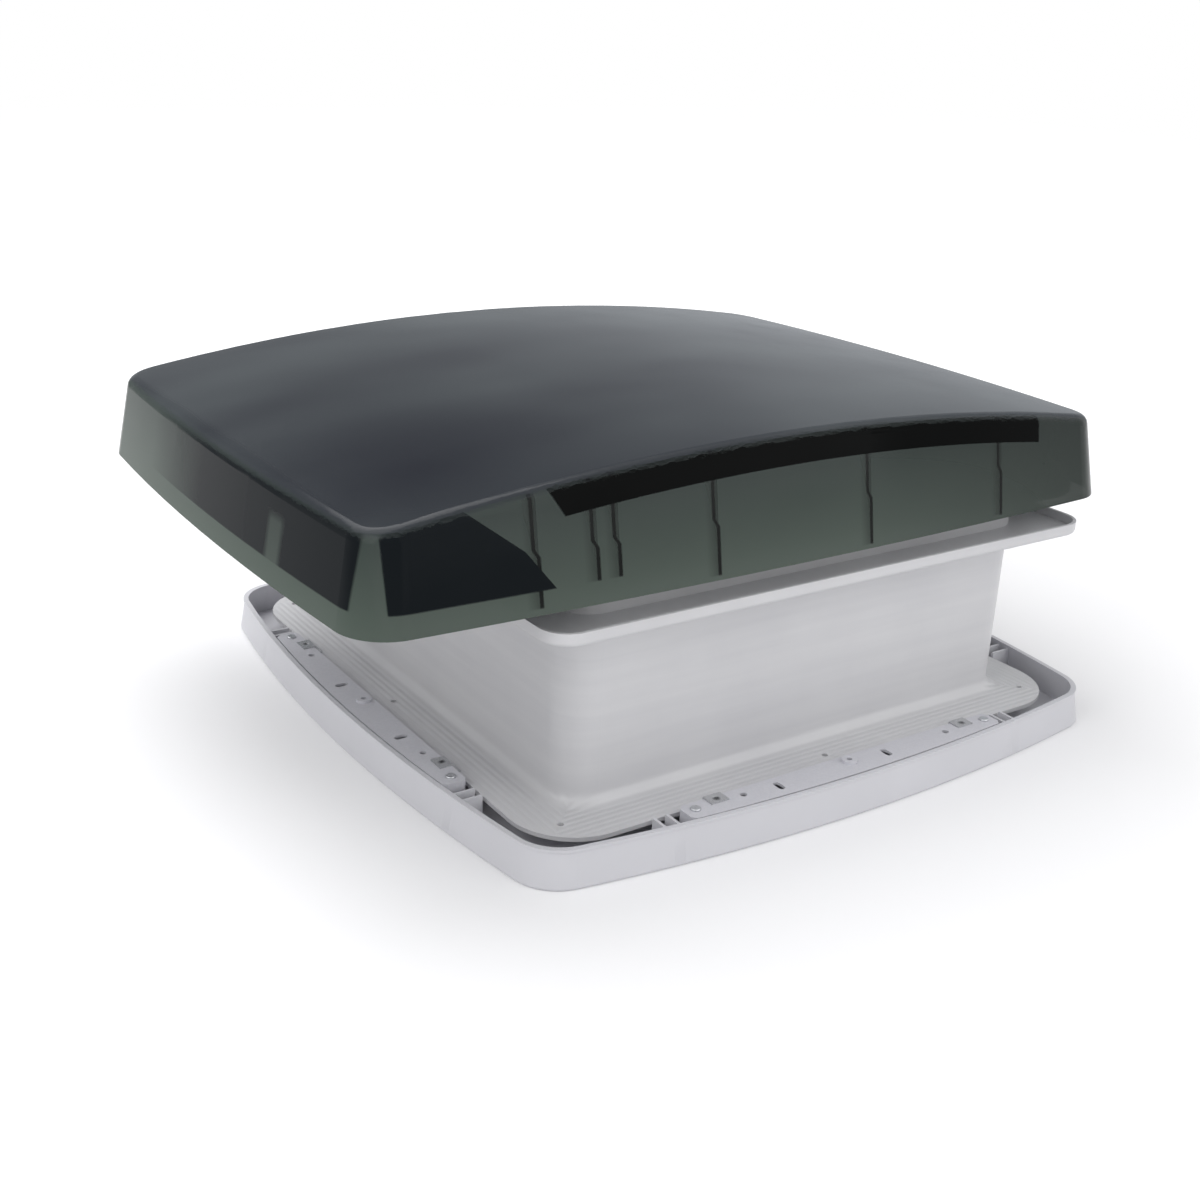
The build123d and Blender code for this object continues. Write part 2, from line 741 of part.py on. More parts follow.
with BuildPart() as lid_hinge_left:
    with BuildSketch(Plane.XZ.offset(hinge_y)):
        with Locations((hinge_x, hinge_z)):
            Circle(hinge_barrel)
        with Locations((hinge_x + hinge_barrel, hinge_z)):
            Rectangle(hinge_leaf, lid_frame_base - hinge_z, align=(Align.MAX, Align.MIN))
    extrude(amount=knuckle_length / 2 - running_gap, both=True)
    with BuildSketch(Plane.XY.offset(lid_frame_base - hinge_leaf)):
        with Locations((hinge_x + hinge_barrel, -hinge_y)):
            Rectangle(lid_leaf_reach, 2 * leaf_half, align=(Align.MAX, Align.CENTER))
    extrude(amount=hinge_leaf)
    with BuildSketch(Plane.XZ.offset(hinge_y)):
        with Locations((hinge_x, hinge_z)):
            Circle(hinge_pin_radius + pin_gap)
    extrude(amount=leaf_half, both=True, mode=Mode.SUBTRACT)
    with BuildSketch(Plane.XY.offset(lid_frame_base - hinge_leaf)):
        with Locations(*leaf_screw_places[:2]):
            Circle(screw_shank / 2 + pin_gap)
    extrude(amount=hinge_leaf, mode=Mode.SUBTRACT)
lid_hinge_left.part.label = "lid_hinge_left"
export_step(lid_hinge_left.part, "parts/lid_hinge_left.step")

with BuildPart() as lid_hinge_right:
    mirror(lid_hinge_left.part, about=Plane.XZ)
lid_hinge_right.part.label = "lid_hinge_right"
export_step(lid_hinge_right.part, "parts/lid_hinge_right.step")

with BuildPart() as hinge_pins:
    with BuildSketch(Plane.XZ.offset(hinge_y), Plane.XZ.offset(-hinge_y)):
        with Locations((hinge_x, hinge_z)):
            Circle(hinge_pin_radius)
    extrude(amount=leaf_half + hinge_leaf / 2, both=True)
hinge_pins.part.label = "hinge_pins"
export_step(hinge_pins.part, "parts/hinge_pins.step")

leaf_screw = pan_screw(leaf_screw_head, screw_head_height, screw_shank, hinge_leaf + rim_lip)
with BuildPart() as frame_hinge_screws:
    with Locations(
        *[
            Location((rim_size / 2 + hinge_leaf, y, leaf_screw_z), (0, 90, 0))
            for y in leaf_screw_y
        ]
    ):
        add(leaf_screw)
frame_hinge_screws.part.label = "frame_hinge_screws"
export_step(frame_hinge_screws.part, "parts/frame_hinge_screws.step")

with BuildPart() as lid_hinge_screws:
    leaf_seat = lid_frame_base - hinge_leaf
    with Locations(*[Location((x, y, leaf_seat), (180, 0, 0)) for x, y in leaf_screw_places]):
        add(leaf_screw)
lid_hinge_screws.part.label = "lid_hinge_screws"
export_step(lid_hinge_screws.part, "parts/lid_hinge_screws.step")

# Slide rails: slotted bars under the lid frame, whose slots point at the hinge axis.
with BuildPart() as slide_rail_left:
    with BuildSketch(Plane.XZ.offset(slide_y)):
        with Locations(((slot_front + slot_rear) / 2, lid_frame_base)):
            Rectangle(
                slot_rear - slot_front + 2 * slide_rail_end,
                slide_rail_height,
                align=(Align.CENTER, Align.MAX),
            )
    extrude(amount=slide_rail_thickness)
    slide_rail_feet = slide_rail_left.faces().sort_by(Axis.Z)[0].edges().filter_by(Axis.Y)
    fillet(slide_rail_feet, slide_rail_height / 3)
    with BuildSketch(Plane.XZ.offset(slide_y)):
        with Locations(((slot_front + slot_rear) / 2, hinge_z)):
            SlotCenterToCenter(slot_rear - slot_front, 2 * (roller_radius + running_gap))
    extrude(amount=slide_rail_thickness, mode=Mode.SUBTRACT)
slide_rail_left.part.label = "slide_rail_left"
export_step(slide_rail_left.part, "parts/slide_rail_left.step")

with BuildPart() as slide_rail_right:
    mirror(slide_rail_left.part, about=Plane.XZ)
slide_rail_right.part.label = "slide_rail_right"
export_step(slide_rail_right.part, "parts/slide_rail_right.step")

# Lifting bow: two arms on the shaft walls and the grab bar that joins their tips.
with BuildPart() as stay_arm_left:
    with BuildSketch(Plane.XZ.offset(arm_y)):
        with Locations((arm_pivot_x, hinge_z)):
            Circle(arm_eye)
        with Locations((grab_x, hinge_z)):
            Circle(arm_tip)
        make_hull()
        with Locations((arm_pivot_x, hinge_z)):
            Circle(bolt_radius + pin_gap, mode=Mode.SUBTRACT)
        with Locations((grab_x, hinge_z)):
            Circle(axle_radius, mode=Mode.SUBTRACT)
    extrude(amount=arm_thickness)
stay_arm_left.part.label = "stay_arm_left"
export_step(stay_arm_left.part, "parts/stay_arm_left.step")

with BuildPart() as stay_arm_right:
    mirror(stay_arm_left.part, about=Plane.XZ)
stay_arm_right.part.label = "stay_arm_right"
export_step(stay_arm_right.part, "parts/stay_arm_right.step")

axle_end = slide_y + slide_rail_thickness + axle_stub
with BuildPart() as grab_bar:
    with BuildSketch(Plane.XZ):
        with Locations((grab_x, hinge_z)):
            Circle(grab_radius)
    extrude(amount=arm_y, both=True)
    with BuildSketch(Plane.XZ):
        with Locations((grab_x, hinge_z)):
            Circle(grab_radius - grab_wall)
    extrude(amount=arm_y - grab_plug, both=True, mode=Mode.SUBTRACT)
    for end_plane in (Plane.XZ.offset(arm_y), Plane.ZX.offset(arm_y)):
        with BuildSketch(end_plane):
            with Locations(end_plane.to_local_coords(Vector(grab_x, end_plane.origin.Y, hinge_z))):
                Circle(axle_radius)
        extrude(amount=axle_end - arm_y)
grab_bar.part.label = "grab_bar"
export_step(grab_bar.part, "parts/grab_bar.step")

# Slot rollers and the clips that keep them on the bar's axles.
with BuildPart() as slot_roller_left:
    with BuildSketch(Plane.XZ.offset(slide_y)):
        with Locations((grab_x, hinge_z)):
            Circle(roller_radius)
            Circle(axle_radius + pin_gap, mode=Mode.SUBTRACT)
    extrude(amount=slide_rail_thickness)
slot_roller_left.part.label = "slot_roller_left"
export_step(slot_roller_left.part, "parts/slot_roller_left.step")

with BuildPart() as slot_roller_right:
    mirror(slot_roller_left.part, about=Plane.XZ)
slot_roller_right.part.label = "slot_roller_right"
export_step(slot_roller_right.part, "parts/slot_roller_right.step")

with BuildPart() as axle_clips:
    with BuildSketch(Plane.XZ.offset(slide_y + slide_rail_thickness + running_gap)):
        with Locations((grab_x, hinge_z)):
            Circle(axle_radius + axle_clip_width)
            Circle(axle_radius, mode=Mode.SUBTRACT)
            with Locations((0, -axle_radius)):
                Rectangle(axle_radius, 2 * axle_clip_width, mode=Mode.SUBTRACT)
    extrude(amount=axle_clip_thickness)
    mirror(about=Plane.XZ)
axle_clips.part.label = "axle_clips"
export_step(axle_clips.part, "parts/axle_clips.step")

# Arm brackets: wall plates with a ribbed boss for the pivot bolt.
bracket_top = seal_top - seal_height - cutout_gap
bracket_face = shaft_inner_half - bracket_plate
boss_face = arm_y + arm_thickness + running_gap
with BuildPart() as arm_bracket_left:
    with BuildSketch(Plane.XZ.offset(bracket_face)):
        with Locations((arm_pivot_x, bracket_top)):
            Rectangle(2 * bracket_half_width, bracket_drop, align=(Align.CENTER, Align.MAX))
        fillet(vertices().group_by(Axis.Y)[0], bracket_plate)
    extrude(amount=bracket_plate)
    with BuildSketch(Plane.XZ.offset(boss_face)):
        with Locations((arm_pivot_x, hinge_z)):
            Circle(arm_eye)
    extrude(amount=bracket_face - boss_face)
    with BuildSketch(Plane.YZ.offset(arm_pivot_x)):
        with BuildLine():
            Polyline(
                (-bracket_face, hinge_z),
                (-boss_face, hinge_z),
                (-boss_face, hinge_z - arm_eye),
                (-bracket_face, bracket_top - bracket_drop),
                close=True,
            )
        make_face()
    extrude(amount=bracket_plate / 2, both=True)
    with BuildSketch(Plane.XZ.offset(boss_face)):
        with Locations((arm_pivot_x, hinge_z)):
            Circle(bolt_radius + pin_gap)
    extrude(amount=bolt_reach, mode=Mode.SUBTRACT)
arm_bracket_left.part.label = "arm_bracket_left"
export_step(arm_bracket_left.part, "parts/arm_bracket_left.step")

with BuildPart() as arm_bracket_right:
    mirror(arm_bracket_left.part, about=Plane.XZ)
arm_bracket_right.part.label = "arm_bracket_right"
export_step(arm_bracket_right.part, "parts/arm_bracket_right.step")

# Pivot bolts: fixed in the bracket bosses, with a head over the clamp knob.
knob_outer_face = arm_y - running_gap
knob_inner_face = knob_outer_face - knob_depth
with BuildPart() as pivot_bolts:
    with BuildSketch(Plane.XZ.offset(knob_inner_face)):
        with Locations((arm_pivot_x, hinge_z)):
            Circle(bolt_radius)
    extrude(amount=boss_face + bolt_reach - knob_inner_face)
    with BuildSketch(Plane.XZ.offset(knob_inner_face - bolt_head_height)):
        with Locations((arm_pivot_x, hinge_z)):
            Circle(bolt_head)
    extrude(amount=bolt_head_height)
    fillet(pivot_bolts.faces().sort_by(Axis.Y)[-1].edges(), bolt_head_height / 3)
    mirror(about=Plane.XZ)
pivot_bolts.part.label = "pivot_bolts"
export_step(pivot_bolts.part, "parts/pivot_bolts.step")

# Clamp knobs: lobed hand knobs that nip the arms against their brackets.
with BuildPart() as clamp_knob_left:
    with BuildSketch(Plane.XZ.offset(knob_inner_face)):
        with Locations((arm_pivot_x, hinge_z)):
            Circle(knob_radius)
            with PolarLocations(knob_radius + knob_scallop / 2, knob_lobes):
                Circle(knob_scallop, mode=Mode.SUBTRACT)
            Circle(bolt_radius + pin_gap, mode=Mode.SUBTRACT)
    extrude(amount=knob_depth)
clamp_knob_left.part.label = "clamp_knob_left"
export_step(clamp_knob_left.part, "parts/clamp_knob_left.step")

with BuildPart() as clamp_knob_right:
    mirror(clamp_knob_left.part, about=Plane.XZ)
clamp_knob_right.part.label = "clamp_knob_right"
export_step(clamp_knob_right.part, "parts/clamp_knob_right.step")

# Turn catches: levers on the front wall, turned aside, that swing over the closed grab bar.
catch_z = hinge_z + grab_radius + catch_cover
catch_shelf_top = catch_z - running_gap
catch_shelf_front = catch_pivot_x + catch_width / 2
with BuildPart() as catch_base_left:
    with BuildSketch(Plane.XZ.offset(catch_y)):
        catch_wall = bracket_plate - shaft_inner_half
        with BuildLine():
            Polyline(
                (-shaft_inner_half, bracket_top),
                (catch_wall, bracket_top),
                (catch_wall, catch_shelf_top),
                (catch_shelf_front, catch_shelf_top),
                (catch_shelf_front, catch_shelf_top - catch_shelf),
                (catch_wall, bracket_top - catch_base_depth),
                (-shaft_inner_half, bracket_top - catch_base_depth),
                close=True,
            )
        make_face()
    extrude(amount=catch_base_width / 2, both=True)
    with BuildSketch(Plane.XY.offset(catch_shelf_top)):
        with Locations((catch_pivot_x, -catch_y)):
            Circle(catch_pin_radius + pin_gap)
    extrude(amount=-catch_shelf, mode=Mode.SUBTRACT)
catch_base_left.part.label = "catch_base_left"
export_step(catch_base_left.part, "parts/catch_base_left.step")

with BuildPart() as catch_base_right:
    mirror(catch_base_left.part, about=Plane.XZ)
catch_base_right.part.label = "catch_base_right"
export_step(catch_base_right.part, "parts/catch_base_right.step")

with BuildPart() as turn_catch_left:
    with BuildSketch(Plane.XY.offset(catch_z)):
        with Locations((catch_pivot_x, -catch_y - catch_reach / 2)):
            SlotCenterToCenter(catch_reach, catch_width, rotation=90)
        with Locations((catch_pivot_x, -catch_y)):
            Circle(catch_pin_radius + pin_gap, mode=Mode.SUBTRACT)
    extrude(amount=catch_thickness)
    with BuildSketch(Plane.XY.offset(catch_z)):
        with Locations((catch_pivot_x, -catch_y - catch_reach)):
            Ellipse(catch_width / 3, catch_tab / 2)
    extrude(amount=catch_thickness + catch_tab)
turn_catch_left.part.label = "turn_catch_left"
export_step(turn_catch_left.part, "parts/turn_catch_left.step")

with BuildPart() as turn_catch_right:
    mirror(turn_catch_left.part, about=Plane.XZ)
turn_catch_right.part.label = "turn_catch_right"
export_step(turn_catch_right.part, "parts/turn_catch_right.step")

catch_pin = pan_screw(
    2 * catch_head,
    screw_head_height,
    2 * catch_pin_radius,
    catch_thickness + running_gap + catch_shelf,
)
with BuildPart() as catch_pins:
    with Locations(*[(catch_pivot_x, s * catch_y, catch_z + catch_thickness) for s in (-1, 1)]):
        add(catch_pin)
catch_pins.part.label = "catch_pins"
export_step(catch_pins.part, "parts/catch_pins.step")

# Flyscreen and blind guides: side channels with two grooves, one above the other.
plane_step = groove_height + guide_web
screen_z = tray_floor_top + guide_foot + groove_height / 2
blind_z = screen_z + plane_step
guide_height = guide_foot + groove_height + guide_web + groove_height + guide_lid
with BuildPart() as blind_guide_left:
    with BuildSketch(Plane.YZ):
        with Locations((-guide_outer, tray_floor_top)):
            Rectangle(guide_outer - guide_face, guide_height, align=(Align.MIN, Align.MIN))
        with Locations((-guide_face, screen_z), (-guide_face, blind_z)):
            Rectangle(
                groove_depth,
                groove_height,
                align=(Align.MAX, Align.CENTER),
                mode=Mode.SUBTRACT,
            )
    extrude(amount=guide_half_length, both=True)
blind_guide_left.part.label = "blind_guide_left"
export_step(blind_guide_left.part, "parts/blind_guide_left.step")

with BuildPart() as blind_guide_right:
    mirror(blind_guide_left.part, about=Plane.XZ)
blind_guide_right.part.label = "blind_guide_right"
export_step(blind_guide_right.part, "parts/blind_guide_right.step")

# Cassettes: end channels that hold the folded flyscreen (rear) and blind (front).
cassette_outer = shaft_inner_half - tray_locator_gap
cassette_mouth = guide_half_length + running_gap
cassette_back = cassette_outer - cassette_wall
with BuildPart() as screen_cassette:
    with BuildSketch(Plane.XZ):
        with Locations((cassette_outer, tray_floor_top)):
            Rectangle(
                cassette_outer - cassette_mouth, guide_height, align=(Align.MAX, Align.MIN)
            )
        with Locations((cassette_back, screen_z), (cassette_back, blind_z)):
            Rectangle(
                cassette_back - cassette_mouth,
                groove_height,
                align=(Align.MAX, Align.CENTER),
                mode=Mode.SUBTRACT,
            )
    extrude(amount=cassette_half_length, both=True)
screen_cassette.part.label = "screen_cassette"
export_step(screen_cassette.part, "parts/screen_cassette.step")

with BuildPart() as blind_cassette:
    mirror(screen_cassette.part, about=Plane.YZ)
blind_cassette.part.label = "blind_cassette"
export_step(blind_cassette.part, "parts/blind_cassette.step")

# Pull bars: sliding end bars of the flyscreen and the blind, with a finger lip.
bar_height = groove_height - 2 * running_gap
bar_half_length = guide_face + groove_depth - bar_end_gap
with BuildPart() as screen_bar:
    with BuildSketch(Plane.XY.offset(screen_z - bar_height / 2)):
        with Locations((guide_half_length, 0)):
            Rectangle(bar_width, 2 * bar_half_length, align=(Align.MAX, Align.CENTER))
    extrude(amount=bar_height)
    with BuildSketch(Plane.XY.offset(screen_z - bar_height / 2)):
        with Locations((guide_half_length - bar_width, 0)):
            Rectangle(bar_grip, bar_grip_length, align=(Align.MAX, Align.CENTER))
    extrude(amount=bar_grip)
screen_bar.part.label = "screen_bar"
export_step(screen_bar.part, "parts/screen_bar.step")

with BuildPart() as blind_bar:
    add(Pos(0, 0, blind_z - screen_z) * mirror(screen_bar.part, about=Plane.YZ, mode=Mode.PRIVATE))
blind_bar.part.label = "blind_bar"
export_step(blind_bar.part, "parts/blind_bar.step")

# Pleated flyscreen and blind, folded away between their bar and their cassette.
pack_start = cassette_mouth
pack_end = cassette_back - running_gap
pleat_pitch = (pack_end - pack_start) / pleat_count
with BuildPart() as pleated_screen:
    with BuildSketch(Plane.XZ):
        fold_lap = pleat_depth * fabric_thickness / (pleat_pitch / 2 + fabric_thickness)
        upper_side = [
            (
                pack_start + i * pleat_pitch / 2,
                screen_z + fold_lap / 2 + (pleat_depth - fold_lap) / 2 * (-1) ** i,
            )
            for i in range(2 * pleat_count + 1)
        ]
        lower_side = [(x, z - fold_lap) for x, z in reversed(upper_side)]
        with BuildLine():
            Polyline(*upper_side, *lower_side, close=True)
        make_face()
    extrude(amount=fabric_half_width, both=True)
pleated_screen.part.label = "pleated_screen"
export_step(pleated_screen.part, "parts/pleated_screen.step")

with BuildPart() as pleated_blind:
    add(Pos(0, 0, blind_z - screen_z) * mirror(pleated_screen.part, about=Plane.YZ, mode=Mode.PRIVATE))
pleated_blind.part.label = "pleated_blind"
export_step(pleated_blind.part, "parts/pleated_blind.step")
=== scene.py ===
import bpy
import math
from mathutils import Matrix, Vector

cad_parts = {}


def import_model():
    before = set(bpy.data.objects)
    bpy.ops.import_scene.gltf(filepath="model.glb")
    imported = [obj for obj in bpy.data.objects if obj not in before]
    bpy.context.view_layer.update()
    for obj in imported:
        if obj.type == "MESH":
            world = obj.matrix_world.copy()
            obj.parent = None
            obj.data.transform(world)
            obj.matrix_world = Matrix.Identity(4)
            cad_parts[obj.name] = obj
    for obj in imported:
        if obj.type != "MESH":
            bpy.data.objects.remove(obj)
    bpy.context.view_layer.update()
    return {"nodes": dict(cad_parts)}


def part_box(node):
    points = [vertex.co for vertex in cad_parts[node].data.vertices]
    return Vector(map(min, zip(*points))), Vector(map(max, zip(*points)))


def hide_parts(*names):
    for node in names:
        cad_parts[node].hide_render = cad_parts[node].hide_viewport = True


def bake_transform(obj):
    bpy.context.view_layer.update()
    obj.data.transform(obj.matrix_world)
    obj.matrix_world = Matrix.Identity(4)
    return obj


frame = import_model()
nodes = frame["nodes"]

# Camera: stands a little above the lid, off the front left corner of the vent, as in the
# photograph. Its lens is a 45 mm on a full-frame sensor, and it leans by a little over two degrees.
camera = bpy.data.objects.new("camera", bpy.data.cameras.new("camera"))
camera.data.lens = 44.9
camera.data.sensor_width = 36.0
camera_place = (-0.661, -0.898, 0.482)
camera_turn, camera_tip, camera_lean = (math.radians(angle) for angle in (-34.55, 68.34, 2.4))
camera.matrix_world = (
    Matrix.Translation(camera_place)
    @ Matrix.Rotation(camera_turn, 4, "Z")
    @ Matrix.Rotation(camera_tip, 4, "X")
    @ Matrix.Rotation(camera_lean, 4, "Z")
)
bpy.context.scene.collection.objects.link(camera)
bpy.context.scene.camera = camera
bpy.context.scene.view_settings.view_transform = "Standard"


# Floor: seamless pale studio board under the tray. It takes the soft shadow of the vent, and it is
# lifted towards white for what the camera sees of it, straight, in a mirror image or through acrylic.
def linear(hex_colour):
    """Linear RGBA of an sRGB hex colour."""
    parts = [int(hex_colour[i : i + 2], 16) / 255 for i in (1, 3, 5)]
    return [c / 12.92 if c <= 0.04045 else ((c + 0.055) / 1.055) ** 2.4 for c in parts] + [1.0]


def add_node(tree, kind, inputs=None, **settings):
    """Adds a node. Each of its inputs is a value, or another node's output to link."""
    made = tree.nodes.new(kind)
    for name, value in settings.items():
        setattr(made, name, value)
    for name, value in (inputs or {}).items():
        if isinstance(value, bpy.types.NodeSocket):
            tree.links.new(value, made.inputs[name])
        else:
            made.inputs[name].default_value = value
    return made


def empty_material(name):
    """New material, and its node tree with nothing in it."""
    material = bpy.data.materials.new(name)
    material.use_nodes = True
    material.node_tree.nodes.clear()
    return material, material.node_tree


def flat_board(name, corners):
    """Object of one flat face, linked into the scene."""
    mesh = bpy.data.meshes.new(name)
    mesh.from_pydata(corners, [], [(0, 1, 2, 3)])
    board = bpy.data.objects.new(name, mesh)
    bpy.context.scene.collection.objects.link(board)
    return board


def shown_in_picture(tree):
    """Socket that is 1 for straight, mirrored and transmitted sight, and 0 for the light cast."""
    ray = add_node(tree, "ShaderNodeLightPath")
    sight = ray.outputs["Is Camera Ray"]
    for other in ("Is Glossy Ray", "Is Transmission Ray"):
        sight = add_node(
            tree, "ShaderNodeMath", {0: sight, 1: ray.outputs[other]}, operation="MAXIMUM"
        ).outputs[0]
    return sight


floor_z = nodes["inner_tray"].bound_box[0][2]
floor_reach = 6.0
studio_board = flat_board(
    "studio_board",
    [(x * floor_reach, y * floor_reach, floor_z) for x, y in ((-1, -1), (1, -1), (1, 1), (-1, 1))],
)
board_paint, tree = empty_material("matt_white_board")
spot = add_node(tree, "ShaderNodeTexCoord")
reach = add_node(tree, "ShaderNodeVectorMath", {0: spot.outputs["Object"]}, operation="LENGTH")
fade = add_node(
    tree,
    "ShaderNodeMapRange",
    {"Value": reach.outputs["Value"], "From Min": 0.3, "From Max": 1.6, "To Min": 0.16, "To Max": 0.6},
)
lift = add_node(
    tree, "ShaderNodeMath", {0: shown_in_picture(tree), 1: fade.outputs[0]}, operation="MULTIPLY"
)
glow = add_node(
    tree, "ShaderNodeEmission", {"Color": linear("#ffffff"), "Strength": lift.outputs[0]}
)
card = add_node(tree, "ShaderNodeBsdfDiffuse", {"Color": linear("#e6e6e8")})
both = add_node(tree, "ShaderNodeAddShader", {0: card.outputs[0], 1: glow.outputs[0]})
add_node(tree, "ShaderNodeOutputMaterial", {"Surface": both.outputs[0]})
studio_board.data.materials.append(board_paint)

# Light: an even white surround that casts half the light it shows, and three soft boxes, at the
# right, at the left and above behind. Together they light a colour about as it is written.
world = bpy.data.worlds.new("white_surround")
bpy.context.scene.world = world
world.use_nodes = True
tree = world.node_tree
tree.nodes.clear()
cast_light = 0.5
surround = add_node(
    tree,
    "ShaderNodeMath",
    {0: shown_in_picture(tree), 1: 1 - cast_light, 2: cast_light},
    operation="MULTIPLY_ADD",
)
sky = add_node(
    tree, "ShaderNodeBackground", {"Color": linear("#ffffff"), "Strength": surround.outputs[0]}
)
add_node(tree, "ShaderNodeOutputWorld", {"Surface": sky.outputs[0]})
for name, place, size, power in (
    ("soft_box_right", (0.7, -2.0, 1.1), 2.2, 17),
    ("soft_box_left", (-1.9, -0.3, 1.4), 1.6, 15),
    ("soft_box_above", (-0.4, 0.9, 2.0), 2.0, 32),
):
    lamp = bpy.data.objects.new(name, bpy.data.lights.new(name, "AREA"))
    lamp.data.size = size
    lamp.data.energy = power
    lamp.location = place
    lamp.rotation_mode = "QUATERNION"
    lamp.rotation_quaternion = (-lamp.location).to_track_quat("-Z", "Y")
    bpy.context.scene.collection.objects.link(lamp)

# Flag: upright grey cloth behind the vent, far outside the picture. Only mirror images show it,
# so the polished roof keeps its dark look, as in the room where the photograph was taken.
grey_flag = flat_board("grey_flag", [(x, 0, z) for x, z in ((-7, -1), (3, -1), (3, 3), (-7, 3))])
grey_flag.location = (1.5, 2.1, 0)
grey_flag.rotation_euler.z = math.radians(-35)
grey_flag.visible_camera = False
grey_flag.visible_diffuse = False
grey_flag.visible_transmission = False
grey_flag.visible_shadow = False
flag_cloth, tree = empty_material("grey_flag_cloth")
spot = add_node(tree, "ShaderNodeTexCoord").outputs["Object"]
fold = add_node(tree, "ShaderNodeTexNoise", {"Vector": spot, "Scale": 0.9, "Detail": 2.0})
darkest = (-0.9, 0.0, 2.1)
away = add_node(tree, "ShaderNodeVectorMath", {0: spot, 1: darkest}, operation="DISTANCE")
hang = add_node(
    tree,
    "ShaderNodeMath",
    {0: fold.outputs[0], 1: 0.5, 2: away.outputs["Value"]},
    operation="MULTIPLY_ADD",
)
shine = add_node(
    tree,
    "ShaderNodeMapRange",
    {"Value": hang.outputs[0], "From Min": 0.6, "From Max": 2.1, "To Min": 0.1, "To Max": 0.58},
)
cloth = add_node(
    tree, "ShaderNodeEmission", {"Color": linear("#f4f9ff"), "Strength": shine.outputs[0]}
)
add_node(tree, "ShaderNodeOutputMaterial", {"Surface": cloth.outputs[0]})
grey_flag.data.materials.append(flag_cloth)


# Upstand frame: one large injection moulding in white ABS, with the roof flange, the shaft and the
# gutter rim. The mould's polish leaves a soft gloss, and the melt's flow leaves faint level streaks.
def new_finish(name, constants):
    """New material on a Principled shader, with the vent's coordinates in metres as a socket."""
    material, tree = empty_material(name)
    place = add_node(tree, "ShaderNodeTexCoord").outputs["Object"]
    shader = add_node(tree, "ShaderNodeBsdfPrincipled", constants)
    add_node(tree, "ShaderNodeOutputMaterial", {"Surface": shader.outputs[0]})
    return material, tree, place, shader


def dress(material, *names):
    """Puts the material in every slot of the named CAD nodes."""
    for name in names:
        mesh = nodes[name].data
        if not mesh.materials:
            mesh.materials.append(material)
        for i in range(len(mesh.materials)):
            mesh.materials[i] = material


def off_middle(tree, place):
    """Distances of a point from the shaft's two upright middle planes, and its height."""
    along, across, height = add_node(tree, "ShaderNodeSeparateXYZ", {0: place}).outputs
    off_x, off_y = (
        add_node(tree, "ShaderNodeMath", {0: axis}, operation="ABSOLUTE").outputs[0]
        for axis in (along, across)
    )
    return off_x, off_y, height


def region(tree, *edges):
    """Mask of the surface past all the edges. An edge is (coordinate, where 0, where 1) or a mask."""
    masks = [
        add_node(
            tree,
            "ShaderNodeMapRange",
            {"Value": edge[0], "From Min": edge[1], "From Max": edge[2]},
        ).outputs[0]
        if isinstance(edge, tuple)
        else edge
        for edge in edges
    ]
    whole = masks[0]
    for mask in masks[1:]:
        whole = add_node(tree, "ShaderNodeMath", {0: whole, 1: mask}, operation="MULTIPLY").outputs[0]
    return whole


white_abs, tree, place, shader = new_finish("moulded_white_abs", {"Roughness": 0.34, "IOR": 1.53})
streak_axes = add_node(tree, "ShaderNodeMapping", {"Vector": place, "Scale": (3.0, 3.0, 70.0)})
streaks = add_node(
    tree,
    "ShaderNodeTexNoise",
    {"Vector": streak_axes.outputs[0], "Scale": 1.0, "Detail": 3.0, "Roughness": 0.6},
)
# The clouds are 90 mm across. Every pattern's scale here is 1000 over its size in millimetres.
clouds = add_node(tree, "ShaderNodeTexNoise", {"Vector": place, "Scale": 1000 / 90, "Detail": 3.0})
mottle = add_node(
    tree, "ShaderNodeMath", {0: streaks.outputs[0], 1: clouds.outputs[0]}, operation="ADD"
)
contrast = add_node(
    tree, "ShaderNodeMath", {0: mottle.outputs[0], 1: 1.6, 2: -1.1}, operation="MULTIPLY_ADD"
)
tint = add_node(
    tree,
    "ShaderNodeMix",
    {0: contrast.outputs[0], "A": linear("#cdcdd0"), "B": linear("#d8d8da")},
    data_type="RGBA",
    clamp_factor=True,
)
tree.links.new(tint.outputs["Result"], shader.inputs["Base Color"])
# The flange foot carries fine ridges 5 mm apart that run round the shaft and key the sealant.
ridge_pitch = 0.005
off_x, off_y, height = off_middle(tree, place)
ring = add_node(tree, "ShaderNodeMath", {0: off_x, 1: off_y}, operation="MAXIMUM")
phase = add_node(
    tree, "ShaderNodeMath", {0: ring.outputs[0], 1: 2 * math.pi / ridge_pitch}, operation="MULTIPLY"
)
ridge = add_node(tree, "ShaderNodeMath", {0: phase.outputs[0]}, operation="SINE")
ridges = region(tree, ridge.outputs[0], (height, 0.014, 0.006))
grain = add_node(tree, "ShaderNodeTexNoise", {"Vector": place, "Scale": 1000 / 1.2, "Detail": 2.0})
relief = add_node(
    tree, "ShaderNodeMath", {0: grain.outputs[0], 1: 0.12, 2: ridges}, operation="MULTIPLY_ADD"
)
skin = add_node(
    tree, "ShaderNodeBump", {"Height": relief.outputs[0], "Strength": 0.5, "Distance": 0.0003}
)
tree.links.new(skin.outputs[0], shader.inputs["Normal"])
dress(white_abs, "upstand_frame")

